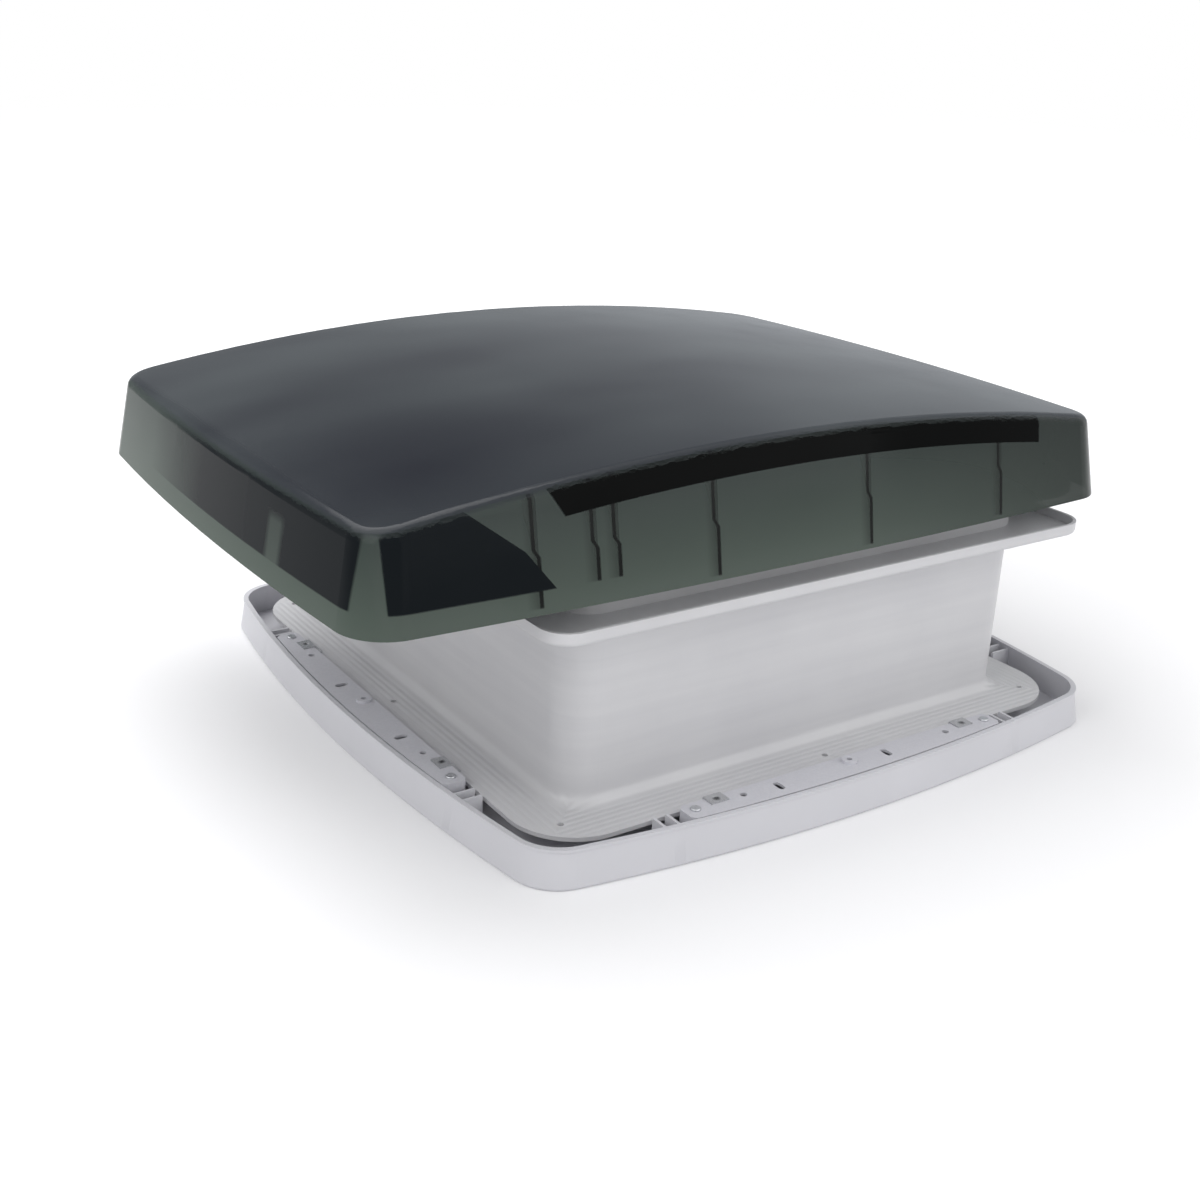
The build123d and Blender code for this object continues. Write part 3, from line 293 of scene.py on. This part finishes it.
# Dome seal: soft pale grey rubber profile pushed over the shaft's top edge. Extruded rubber is
# matt, with drag lines along its length, and takes a light bloom.
seal_rubber, tree, place, shader = new_finish(
    "extruded_pale_grey_rubber", {"Roughness": 0.62, "IOR": 1.52}
)
drag_axes = add_node(tree, "ShaderNodeMapping", {"Vector": place, "Scale": (4.0, 4.0, 900.0)})
drag = add_node(
    tree, "ShaderNodeTexNoise", {"Vector": drag_axes.outputs[0], "Scale": 1.0, "Detail": 2.0}
)
bloom = add_node(tree, "ShaderNodeTexNoise", {"Vector": place, "Scale": 1000 / 25, "Detail": 4.0})
tint = add_node(
    tree,
    "ShaderNodeMix",
    {0: bloom.outputs[0], "A": linear("#c9cbcd"), "B": linear("#dddfe1")},
    data_type="RGBA",
)
tree.links.new(tint.outputs["Result"], shader.inputs["Base Color"])
skin = add_node(
    tree, "ShaderNodeBump", {"Height": drag.outputs[0], "Strength": 0.3, "Distance": 0.0004}
)
tree.links.new(skin.outputs[0], shader.inputs["Normal"])
dress(seal_rubber, "dome_seal")

# Interior tray: bowed trim moulded in white ABS, with a fine satin grain. The melt's flow leaves
# pale clouds in it, about 70 mm across.
tray_abs, tree, place, shader = new_finish("grained_white_abs", {"Roughness": 0.42, "IOR": 1.53})
clouds = add_node(tree, "ShaderNodeTexNoise", {"Vector": place, "Scale": 1000 / 70, "Detail": 4.0})
tint = add_node(
    tree,
    "ShaderNodeMix",
    {0: clouds.outputs[0], "A": linear("#cfcfd4"), "B": linear("#dadadf")},
    data_type="RGBA",
)
tree.links.new(tint.outputs["Result"], shader.inputs["Base Color"])
grain = add_node(tree, "ShaderNodeTexNoise", {"Vector": place, "Scale": 1000 / 0.9, "Detail": 2.0})
skin = add_node(
    tree, "ShaderNodeBump", {"Height": grain.outputs[0], "Strength": 0.12, "Distance": 0.0002}
)
tree.links.new(skin.outputs[0], shader.inputs["Normal"])
dress(tray_abs, "inner_tray")

# Mounting rails: channels moulded in glass-filled nylon that has a dry, slightly mottled surface.
# Four of the same shape lie between the roof flange and the tray wall.
rail_nylon, tree, place, shader = new_finish("glass_filled_nylon", {"Roughness": 0.5, "IOR": 1.53})
fibre = add_node(
    tree,
    "ShaderNodeTexNoise",
    {"Vector": place, "Scale": 1000 / 3, "Detail": 5.0, "Distortion": 1.5},
)
tint = add_node(
    tree,
    "ShaderNodeMix",
    {0: fibre.outputs[0], "A": linear("#c4c4cb"), "B": linear("#d8d8de")},
    data_type="RGBA",
)
tree.links.new(tint.outputs["Result"], shader.inputs["Base Color"])
skin = add_node(
    tree, "ShaderNodeBump", {"Height": fibre.outputs[0], "Strength": 0.18, "Distance": 0.0003}
)
tree.links.new(skin.outputs[0], shader.inputs["Normal"])
dress(rail_nylon, *("mounting_rail_" + side for side in ("left", "right", "front", "rear")))

# Rail clips: strips of bright spring steel, pressed and folded over the rails. The axle clips are
# of the same strip. Rolling leaves fine lines, drawn here 0.4 mm apart so that they show.
spring_steel, tree, place, shader = new_finish("rolled_spring_steel", {"Metallic": 1.0})
roll_axes = add_node(
    tree, "ShaderNodeMapping", {"Vector": place, "Scale": (2500.0, 2500.0, 60.0)}
)
rolled = add_node(
    tree, "ShaderNodeTexNoise", {"Vector": roll_axes.outputs[0], "Scale": 1.0, "Detail": 2.0}
)
polish = add_node(
    tree,
    "ShaderNodeMapRange",
    {"Value": rolled.outputs[0], "From Min": 0.3, "From Max": 0.7, "To Min": 0.22, "To Max": 0.42},
)
tree.links.new(polish.outputs[0], shader.inputs["Roughness"])
# A round dimple in the middle of each rail clip, where the press holds the strip while it folds it.
# Painted shade darkens its hollow.
dimple_place = (0.2425, 0.112, 0.0)
dimple_floor, dimple_rim = 0.0008, 0.0032
off_x, off_y, _ = off_middle(tree, place)
far = add_node(tree, "ShaderNodeMath", {0: off_x, 1: off_y}, operation="MAXIMUM")
near = add_node(tree, "ShaderNodeMath", {0: off_x, 1: off_y}, operation="MINIMUM")
spot = add_node(tree, "ShaderNodeCombineXYZ", {0: far.outputs[0], 1: near.outputs[0]})
radius = add_node(
    tree, "ShaderNodeVectorMath", {0: spot.outputs[0], 1: dimple_place}, operation="DISTANCE"
)
dimple = add_node(
    tree,
    "ShaderNodeMapRange",
    {"Value": radius.outputs["Value"], "From Min": dimple_floor, "From Max": dimple_rim},
    interpolation_type="SMOOTHSTEP",
)
skin = add_node(
    tree, "ShaderNodeBump", {"Height": dimple.outputs[0], "Strength": 0.9, "Distance": 0.0012}
)
tree.links.new(skin.outputs[0], shader.inputs["Normal"])
# Painted shade: dark at the dimple's floor, grading to the bright steel at its rim.
tint = add_node(
    tree,
    "ShaderNodeMix",
    {0: dimple.outputs[0], "A": linear("#5e6062"), "B": linear("#c3c4c6")},
    data_type="RGBA",
)
tree.links.new(tint.outputs["Result"], shader.inputs["Base Color"])
dress(spring_steel, "rail_clips", "axle_clips")

# Screws, bolts and pins: cold-headed steel with bright zinc plating, slightly cloudy.
# They hold the rails, the hinges and the dome, and carry the arms and the catches.
zinc_steel, tree, place, shader = new_finish("bright_zinc_plate", {"Metallic": 1.0})
haze = add_node(tree, "ShaderNodeTexNoise", {"Vector": place, "Scale": 1000 / 2, "Detail": 3.0})
polish = add_node(
    tree,
    "ShaderNodeMapRange",
    {"Value": haze.outputs[0], "From Min": 0.3, "From Max": 0.7, "To Min": 0.24, "To Max": 0.4},
)
tree.links.new(polish.outputs[0], shader.inputs["Roughness"])
tint = add_node(
    tree,
    "ShaderNodeMix",
    {0: haze.outputs[0], "A": linear("#b7babf"), "B": linear("#cfd0d1")},
    data_type="RGBA",
)
tree.links.new(tint.outputs["Result"], shader.inputs["Base Color"])
dress(
    zinc_steel,
    "rail_screws",
    "dome_screws",
    "frame_hinge_screws",
    "lid_hinge_screws",
    "hinge_pins",
    "pivot_bolts",
    "catch_pins",
)


# Outer dome: 3 mm smoked acrylic, drawn down over a mould, with gussets and bosses inside.
# The drawn skirt is thinner than the roof, so its green-grey dye is paler and more light comes
# through. It is painted paler still towards the foot: painted light coming up through it.
# A near-black band and fields are painted on the skirt.
def past(coordinate, line, soft):
    """Edge of a region that begins at the line, over a soft width."""
    return coordinate, line - soft / 2, line + soft / 2


def before(coordinate, line, soft):
    """Edge of a region that ends at the line, over a soft width."""
    return coordinate, line + soft / 2, line - soft / 2


def either(tree, *masks):
    """Mask that shows wherever one of the masks does."""
    whole = masks[0]
    for mask in masks[1:]:
        whole = add_node(tree, "ShaderNodeMath", {0: whole, 1: mask}, operation="MAXIMUM").outputs[0]
    return whole


smoked_acrylic, tree, place, shader = new_finish("smoked_cast_acrylic", {"IOR": 1.49})
along, across, height = add_node(tree, "ShaderNodeSeparateXYZ", {0: place}).outputs
# The roof is where the sheet lies nearly level in the room. So with the lid wide open the roof takes
# on some of the skirt's dye, and the skirt's front counts as roof. The skirt's faces are told by
# how far out they stand.
facing = add_node(tree, "ShaderNodeNewGeometry")
upright = add_node(tree, "ShaderNodeSeparateXYZ", {0: facing.outputs["True Normal"]})
level = add_node(tree, "ShaderNodeMath", {0: upright.outputs["Z"]}, operation="ABSOLUTE")
from_axis = add_node(tree, "ShaderNodeMath", {0: across}, operation="ABSOLUTE")
roof = region(tree, (level.outputs[0], 0.5, 0.85))
not_roof = add_node(tree, "ShaderNodeMath", {0: 1.0, 1: roof}, operation="SUBTRACT").outputs[0]
on_side = region(tree, past(from_axis.outputs[0], 0.2065, 0.003))
on_front = region(tree, before(along, -0.336, 0.006))
# Colour of the roof: dye clouds 200 mm long and 110 mm wide, and a painted reflection
# that darkens it towards the front left corner.
cloud_axes = add_node(tree, "ShaderNodeMapping", {"Vector": place, "Scale": (5.0, 9.0, 5.0)})
roof_clouds = add_node(
    tree, "ShaderNodeTexNoise", {"Vector": cloud_axes.outputs[0], "Scale": 1.0, "Detail": 1.5}
)
# Painted reflection: the roof's colour is darkest at this point and pales over 200 mm.
dark_corner = (-0.27, -0.14, 0.22)
from_corner = add_node(
    tree, "ShaderNodeVectorMath", {0: place, 1: dark_corner}, operation="DISTANCE"
)
paleness = region(
    tree, (roof_clouds.outputs[0], 0.18, 0.74), (from_corner.outputs["Value"], 0.0, 0.2)
)
roof_dye_and_reflection = add_node(
    tree,
    "ShaderNodeMix",
    {0: paleness, "A": linear("#272930"), "B": linear("#474c4f")},
    data_type="RGBA",
)
# Colour of the skirt: dye and painted light, paler towards the foot. It is also darker towards the
# rear of the sides.
skirt_dye_and_light = add_node(
    tree,
    "ShaderNodeMix",
    {0: region(tree, (height, 0.156, 0.215)), "A": linear("#566059"), "B": linear("#3c4441")},
    data_type="RGBA",
)
skirt_darker_to_rear = add_node(
    tree,
    "ShaderNodeMix",
    {0: region(tree, (along, 0.0, 0.3)), "A": skirt_dye_and_light.outputs["Result"], "B": linear("#2a302e")},
    data_type="RGBA",
)
# Each gusset stands behind the skirt as a dark line with a step in it, and its side as a shade.
gusset_step = 0.003
gusset_top = 0.240
gusset_half = 0.0014
gusset_soft = 0.001
shade_width = 0.0095
shade_depth = 0.45
stepped = add_node(
    tree,
    "ShaderNodeMath",
    {0: region(tree, (height, 0.189, 0.194)), 1: gusset_step, 2: along},
    operation="MULTIPLY_ADD",
).outputs[0]
lines = []
shades = []
for gusset_x, foot in (
    (-0.2378, 0.160),
    (-0.1985, 0.170),
    (-0.1835, 0.170),
    (-0.1113, 0.159),
    (0.0153, 0.159),
    (0.1418, 0.159),
):
    zone = region(tree, past(height, foot, gusset_soft), before(height, gusset_top, gusset_soft))
    line = region(
        tree,
        past(stepped, gusset_x - gusset_half, gusset_soft),
        before(stepped, gusset_x + gusset_half, gusset_soft),
    )
    side_face = region(
        tree,
        (along, gusset_x - shade_width, gusset_x - gusset_soft),
        (along, gusset_x + gusset_soft / 2, gusset_x),
    )
    lines.append(region(tree, line, zone))
    shades.append(region(tree, side_face, zone))
gusset_line = region(tree, either(tree, *lines), on_side)
gusset_shade = region(tree, either(tree, *shades), on_side, shade_depth)
shaded = add_node(
    tree,
    "ShaderNodeMix",
    {
        0: either(tree, gusset_line, gusset_shade),
        "A": skirt_darker_to_rear.outputs["Result"],
        "B": linear("#0a0d0c"),
    },
    data_type="RGBA",
)
dyed = add_node(
    tree,
    "ShaderNodeMix",
    {0: roof, "A": shaded.outputs["Result"], "B": roof_dye_and_reflection.outputs["Result"]},
    data_type="RGBA",
)
# Near-black band, painted about 16 mm wide under the long top edges. Such an edge lies by the camber
# lower than the crest at the dome's middle, and by the arch lower still at the dome's ends.
dome_x, dome_half_length = -0.043, 0.315
crest, arch, camber = 0.2415, 0.0285, 0.0035
band_top, band_foot = -0.004, 0.019
from_middle = add_node(
    tree, "ShaderNodeMath", {0: along, 1: dome_x}, operation="SUBTRACT"
).outputs[0]
squared = add_node(tree, "ShaderNodeMath", {0: from_middle, 1: from_middle}, operation="MULTIPLY")
edge_height = add_node(
    tree,
    "ShaderNodeMath",
    {0: squared.outputs[0], 1: -arch / dome_half_length**2, 2: crest - camber},
    operation="MULTIPLY_ADD",
)
below_edge = add_node(
    tree, "ShaderNodeMath", {0: edge_height.outputs[0], 1: height}, operation="SUBTRACT"
).outputs[0]
band_slant = 0.6
band_end = add_node(
    tree, "ShaderNodeMath", {0: below_edge, 1: -band_slant, 2: along}, operation="MULTIPLY_ADD"
).outputs[0]
field_soft, field_crisp = 0.001, 0.0004
band = region(
    tree,
    past(below_edge, band_top, field_crisp),
    before(below_edge, band_foot, field_crisp),
    past(band_end, -0.230, field_soft),
    before(along, 0.183, field_soft),
    on_side,
)
# A field at the front end of each long side stops at two slanted cuts that meet in a knee. The
# field on the front fades out towards the right, and has a soft pale window.
field_foot = past(height, 0.170, field_soft)
field_top = past(below_edge, -0.001, 0.004)
knee_x, knee_z = -0.2456, 0.1936
upper_cut, lower_cut = (
    add_node(
        tree,
        "ShaderNodeMath",
        {0: height, 1: -slope, 2: knee_x + slope * knee_z},
        operation="MULTIPLY_ADD",
    ).outputs[0]
    for slope in (1.33, 0.79)
)
cut = add_node(tree, "ShaderNodeMath", {0: upper_cut, 1: lower_cut}, operation="MINIMUM")
before_cut = add_node(
    tree, "ShaderNodeMath", {0: cut.outputs[0], 1: along}, operation="SUBTRACT"
).outputs[0]
side_field = region(
    tree,
    past(before_cut, 0.0003, 0.0006),
    past(along, -0.331, field_soft),
    field_foot,
    field_top,
    on_side,
)
front_field = region(
    tree, before(across, 0.060, 0.100), past(across, -0.200, 0.002), field_foot, field_top, on_front
)
window_soft = 0.006
window_clear = 0.7
window = region(
    tree,
    past(across, -0.116, window_soft),
    before(across, -0.098, window_soft),
    past(height, 0.150, window_soft),
    before(height, 0.197, window_soft),
)
outside_window = add_node(
    tree, "ShaderNodeMath", {0: window, 1: -window_clear, 2: 1.0}, operation="MULTIPLY_ADD"
).outputs[0]
dark_fields = region(
    tree, either(tree, band, side_field, region(tree, front_field, outside_window)), not_roof
)
dark_field_colour = add_node(
    tree,
    "ShaderNodeMix",
    {0: band, "A": linear("#15191c"), "B": linear("#060707")},
    data_type="RGBA",
)
finished = add_node(
    tree,
    "ShaderNodeMix",
    {0: dark_fields, "A": dyed.outputs["Result"], "B": dark_field_colour.outputs["Result"]},
    data_type="RGBA",
)
tree.links.new(finished.outputs["Result"], shader.inputs["Base Color"])
# Light comes through the skirt, less through the roof and the front, and not through the dark
# band and fields.
dense = either(tree, roof, region(tree, (along, -0.325, -0.340)))
density = add_node(tree, "ShaderNodeMapRange", {"Value": dense, "To Min": 0.88, "To Max": 0.96})
tree.links.new(
    either(tree, density.outputs[0], dark_fields, gusset_line), shader.inputs["Alpha"]
)
# The dark band and fields and the front are duller. Handling leaves faint rubs, and the
# drawing a slow ripple.
dull = either(tree, dark_fields, on_front)
gloss = add_node(tree, "ShaderNodeMapRange", {"Value": dull, "To Min": 0.12, "To Max": 0.03})
tree.links.new(gloss.outputs[0], shader.inputs["Specular IOR Level"])
rub = add_node(tree, "ShaderNodeTexNoise", {"Vector": place, "Scale": 1000 / 45, "Detail": 4.0})
polish = add_node(
    tree,
    "ShaderNodeMapRange",
    {"Value": rub.outputs[0], "From Min": 0.35, "From Max": 0.75, "To Min": 0.08, "To Max": 0.17},
)
tree.links.new(polish.outputs[0], shader.inputs["Roughness"])
ripple = add_node(tree, "ShaderNodeTexNoise", {"Vector": place, "Scale": 1000 / 120, "Detail": 1.0})
skin = add_node(
    tree, "ShaderNodeBump", {"Height": ripple.outputs[0], "Strength": 0.2, "Distance": 0.002}
)
tree.links.new(skin.outputs[0], shader.inputs["Normal"])
dress(smoked_acrylic, "outer_dome")

# Inner pane: second dome under the first, in opal acrylic that lets a soft light into the room.
# Its milky body is nearly even, with slow clouds 150 mm across.
pane_acrylic, tree, place, shader = new_finish(
    "opal_cast_acrylic", {"Roughness": 0.2, "IOR": 1.49, "Alpha": 0.9}
)
milk = add_node(tree, "ShaderNodeTexNoise", {"Vector": place, "Scale": 1000 / 150, "Detail": 2.0})
tint = add_node(
    tree,
    "ShaderNodeMix",
    {0: milk.outputs[0], "A": linear("#b7c0bb"), "B": linear("#cfd6d3")},
    data_type="RGBA",
)
tree.links.new(tint.outputs["Result"], shader.inputs["Base Color"])
dress(pane_acrylic, "inner_pane")

# Lid frame: flat ring moulded in grey polypropylene, screwed up under the dome's bosses.
# Its fine grain is that of a spark-eroded mould.
grey_plastic, tree, place, shader = new_finish(
    "grained_grey_polypropylene", {"Roughness": 0.5, "IOR": 1.49}
)
grain = add_node(tree, "ShaderNodeTexNoise", {"Vector": place, "Scale": 1000 / 0.8, "Detail": 3.0})
clouds = add_node(tree, "ShaderNodeTexNoise", {"Vector": place, "Scale": 1000 / 60, "Detail": 3.0})
tint = add_node(
    tree,
    "ShaderNodeMix",
    {0: clouds.outputs[0], "A": linear("#aaaeae"), "B": linear("#bbbfbe")},
    data_type="RGBA",
)
tree.links.new(tint.outputs["Result"], shader.inputs["Base Color"])
skin = add_node(
    tree, "ShaderNodeBump", {"Height": grain.outputs[0], "Strength": 0.2, "Distance": 0.0002}
)
tree.links.new(skin.outputs[0], shader.inputs["Normal"])
dress(grey_plastic, "lid_frame")

# Slide rails, brackets, catches, guides, cassettes and pull bars: satin mouldings in white
# polypropylene, inside the lid and the shaft, with a shallower grain than the lid frame's.
white_plastic, tree, place, shader = new_finish(
    "satin_white_polypropylene", {"Roughness": 0.46, "IOR": 1.49}
)
grain = add_node(tree, "ShaderNodeTexNoise", {"Vector": place, "Scale": 1000 / 0.8, "Detail": 3.0})
clouds = add_node(tree, "ShaderNodeTexNoise", {"Vector": place, "Scale": 1000 / 50, "Detail": 3.0})
tint = add_node(
    tree,
    "ShaderNodeMix",
    {0: clouds.outputs[0], "A": linear("#d6d6d8"), "B": linear("#e2e2e3")},
    data_type="RGBA",
)
tree.links.new(tint.outputs["Result"], shader.inputs["Base Color"])
skin = add_node(
    tree, "ShaderNodeBump", {"Height": grain.outputs[0], "Strength": 0.15, "Distance": 0.0002}
)
tree.links.new(skin.outputs[0], shader.inputs["Normal"])
dress(white_plastic, "screen_cassette", "blind_cassette", "screen_bar", "blind_bar")
for side in ("left", "right"):
    for piece in ("slide_rail_", "arm_bracket_", "catch_base_", "turn_catch_", "blind_guide_"):
        dress(white_plastic, piece + side)

# Hinges: pressed and rolled steel leaves with a dark grey powder coat.
# The baked powder has an orange-peel skin with dimples about 1 mm across.
powder_coat, tree, place, shader = new_finish("grey_powder_coat", {"Roughness": 0.45, "IOR": 1.5})
peel = add_node(
    tree, "ShaderNodeTexVoronoi", {"Vector": place, "Scale": 1000 / 1.0}, feature="SMOOTH_F1"
)
speck = add_node(tree, "ShaderNodeTexNoise", {"Vector": place, "Scale": 1000 / 1.5, "Detail": 2.0})
tint = add_node(
    tree,
    "ShaderNodeMix",
    {0: speck.outputs[0], "A": linear("#4d5052"), "B": linear("#5f6264")},
    data_type="RGBA",
)
tree.links.new(tint.outputs["Result"], shader.inputs["Base Color"])
skin = add_node(
    tree,
    "ShaderNodeBump",
    {"Height": peel.outputs["Distance"], "Strength": 0.3, "Distance": 0.0003},
)
tree.links.new(skin.outputs[0], shader.inputs["Normal"])
dress(powder_coat, "frame_hinge_left", "frame_hinge_right", "lid_hinge_left", "lid_hinge_right")

# Lifting bow: grab bar and arms in satin anodised aluminium. The drawn bar shows fine lines along
# its length, and the arms' strip shows them too.
satin_aluminium, tree, place, shader = new_finish("satin_anodised_aluminium", {"Metallic": 1.0})
draw_axes = add_node(tree, "ShaderNodeMapping", {"Vector": place, "Scale": (900.0, 12.0, 900.0)})
drawn = add_node(
    tree, "ShaderNodeTexNoise", {"Vector": draw_axes.outputs[0], "Scale": 1.0, "Detail": 3.0}
)
polish = add_node(
    tree,
    "ShaderNodeMapRange",
    {"Value": drawn.outputs[0], "From Min": 0.3, "From Max": 0.7, "To Min": 0.28, "To Max": 0.46},
)
tree.links.new(polish.outputs[0], shader.inputs["Roughness"])
tint = add_node(
    tree,
    "ShaderNodeMix",
    {0: drawn.outputs[0], "A": linear("#bfc0c4"), "B": linear("#d6d7d9")},
    data_type="RGBA",
)
tree.links.new(tint.outputs["Result"], shader.inputs["Base Color"])
dress(satin_aluminium, "grab_bar", "stay_arm_left", "stay_arm_right")

# Slot rollers: turned in natural acetal, smooth and slightly waxy, with a faint mottle from
# the turning tool.
acetal, tree, place, shader = new_finish("turned_natural_acetal", {"Roughness": 0.36, "IOR": 1.48})
lathe = add_node(tree, "ShaderNodeTexNoise", {"Vector": place, "Scale": 1000 / 1.0, "Detail": 2.0})
tint = add_node(
    tree,
    "ShaderNodeMix",
    {0: lathe.outputs[0], "A": linear("#e2e1da"), "B": linear("#efeee9")},
    data_type="RGBA",
)
tree.links.new(tint.outputs["Result"], shader.inputs["Base Color"])
dress(acetal, "slot_roller_left", "slot_roller_right")

# Clamp knobs: lobed hand knobs moulded in black nylon with a fine leather-like grip grain.
# They clamp the arms at their pivots.
knob_nylon, tree, place, shader = new_finish("grained_black_nylon", {"Roughness": 0.48, "IOR": 1.53})
grip = add_node(
    tree, "ShaderNodeTexVoronoi", {"Vector": place, "Scale": 1000 / 0.9}, feature="SMOOTH_F1"
)
tint = add_node(
    tree,
    "ShaderNodeMix",
    {0: grip.outputs["Distance"], "A": linear("#242426"), "B": linear("#39393c")},
    data_type="RGBA",
)
tree.links.new(tint.outputs["Result"], shader.inputs["Base Color"])
skin = add_node(
    tree,
    "ShaderNodeBump",
    {"Height": grip.outputs["Distance"], "Strength": 0.35, "Distance": 0.0003},
)
tree.links.new(skin.outputs[0], shader.inputs["Normal"])
dress(knob_nylon, "clamp_knob_left", "clamp_knob_right")


# Pleated flyscreen and blind: sheets 340 mm wide and 352 mm long, heat-set into 16 pleats.
# One edge is held in its cassette, and the other in the pull bar that draws the pleats open.
def pleated_sheet(name, cad_name, material):
    """Folded sheet in the room of its CAD solid, with a flat pattern in metres as its UV map."""
    low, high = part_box(cad_name)
    width = 0.34
    pleats = 16
    leg = 0.011
    columns = 34
    rows_per_leg = 6
    # The sheet keeps clear of the room's top and bottom. Folds of sharpness 1 would be knife edges.
    clearance = 0.0003
    sharpness = 0.97
    middle = (low.z + high.z) / 2
    swing = (high.z - low.z) / 2 - clearance
    rows = 2 * pleats * rows_per_leg
    stride = columns + 1
    points = []
    for i in range(rows + 1):
        t = i / rows
        wave = math.asin(sharpness * math.cos(2 * math.pi * pleats * t)) / math.asin(sharpness)
        x = low.x + (high.x - low.x) * t
        for j in range(stride):
            y = low.y + (high.y - low.y) * j / columns
            points.append((x, y, middle + swing * wave))
    corners = [i * stride + j for i in range(rows) for j in range(columns)]
    faces = [(k, k + 1, k + stride + 1, k + stride) for k in corners]
    mesh = bpy.data.meshes.new(name)
    mesh.from_pydata(points, [], faces)
    flat = mesh.uv_layers.new(name="flat")
    for loop in mesh.loops:
        i, j = divmod(loop.vertex_index, stride)
        flat.data[loop.index].uv = (width * j / columns, leg * i / rows_per_leg)
    for face in mesh.polygons:
        face.use_smooth = True
    mesh.materials.append(material)
    sheet = bpy.data.objects.new(name, mesh)
    bpy.context.scene.collection.objects.link(sheet)
    return sheet


def yarn_waves(tree, pitch):
    """Sine waves over the flat sheet's width and its length, with a half wave for each yarn."""
    flat = add_node(tree, "ShaderNodeUVMap", uv_map="flat")
    axes = add_node(tree, "ShaderNodeSeparateXYZ", {0: flat.outputs[0]})
    waves = []
    for axis in "XY":
        phase = add_node(
            tree, "ShaderNodeMath", {0: axes.outputs[axis], 1: math.pi / pitch}, operation="MULTIPLY"
        )
        wave = add_node(tree, "ShaderNodeMath", {0: phase.outputs[0]}, operation="SINE")
        waves.append(wave.outputs[0])
    return waves


# Flyscreen mesh: black glass-fibre yarn, woven open. Its real mesh of 1.4 mm is drawn at 2.8 mm,
# because a finer one turns to flicker in the picture.
screen_mesh, tree, _, shader = new_finish("black_glass_fibre_mesh", {"Roughness": 0.6, "IOR": 1.5})
warp_yarn, weft_yarn = (
    add_node(tree, "ShaderNodeMath", {0: wave}, operation="ABSOLUTE").outputs[0]
    for wave in yarn_waves(tree, 0.0028)
)
yarn = add_node(tree, "ShaderNodeMath", {0: warp_yarn, 1: weft_yarn}, operation="MINIMUM")
cover = add_node(
    tree,
    "ShaderNodeMapRange",
    {"Value": yarn.outputs[0], "From Min": 0.35, "From Max": 0.6, "To Min": 0.95, "To Max": 0.35},
)
tree.links.new(cover.outputs[0], shader.inputs["Alpha"])
tint = add_node(
    tree,
    "ShaderNodeMix",
    {0: yarn.outputs[0], "A": linear("#2c2d30"), "B": linear("#1b1c1e")},
    data_type="RGBA",
)
tree.links.new(tint.outputs["Result"], shader.inputs["Base Color"])
flyscreen = pleated_sheet("flyscreen", "pleated_screen", screen_mesh)
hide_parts("pleated_screen")

# Blind cloth: cream polyester with an even plain weave, drawn 1 mm wide so that it shows.
# It dims the room, and its pleats stay sharp.
blind_cloth, tree, _, shader = new_finish(
    "woven_cream_polyester",
    {"Roughness": 0.8, "IOR": 1.5, "Sheen Weight": 0.25, "Sheen Roughness": 0.5},
)
warp, weft = yarn_waves(tree, 0.001)
plain = add_node(tree, "ShaderNodeMath", {0: warp, 1: weft}, operation="MULTIPLY")
tint = add_node(
    tree,
    "ShaderNodeMix",
    {0: plain.outputs[0], "A": linear("#d3d0c6"), "B": linear("#e5e2da")},
    data_type="RGBA",
    clamp_factor=True,
)
tree.links.new(tint.outputs["Result"], shader.inputs["Base Color"])
skin = add_node(
    tree, "ShaderNodeBump", {"Height": plain.outputs[0], "Strength": 0.3, "Distance": 0.0002}
)
tree.links.new(skin.outputs[0], shader.inputs["Normal"])
blind = pleated_sheet("blind", "pleated_blind", blind_cloth)
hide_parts("pleated_blind")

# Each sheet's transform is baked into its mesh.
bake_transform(flyscreen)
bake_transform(blind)
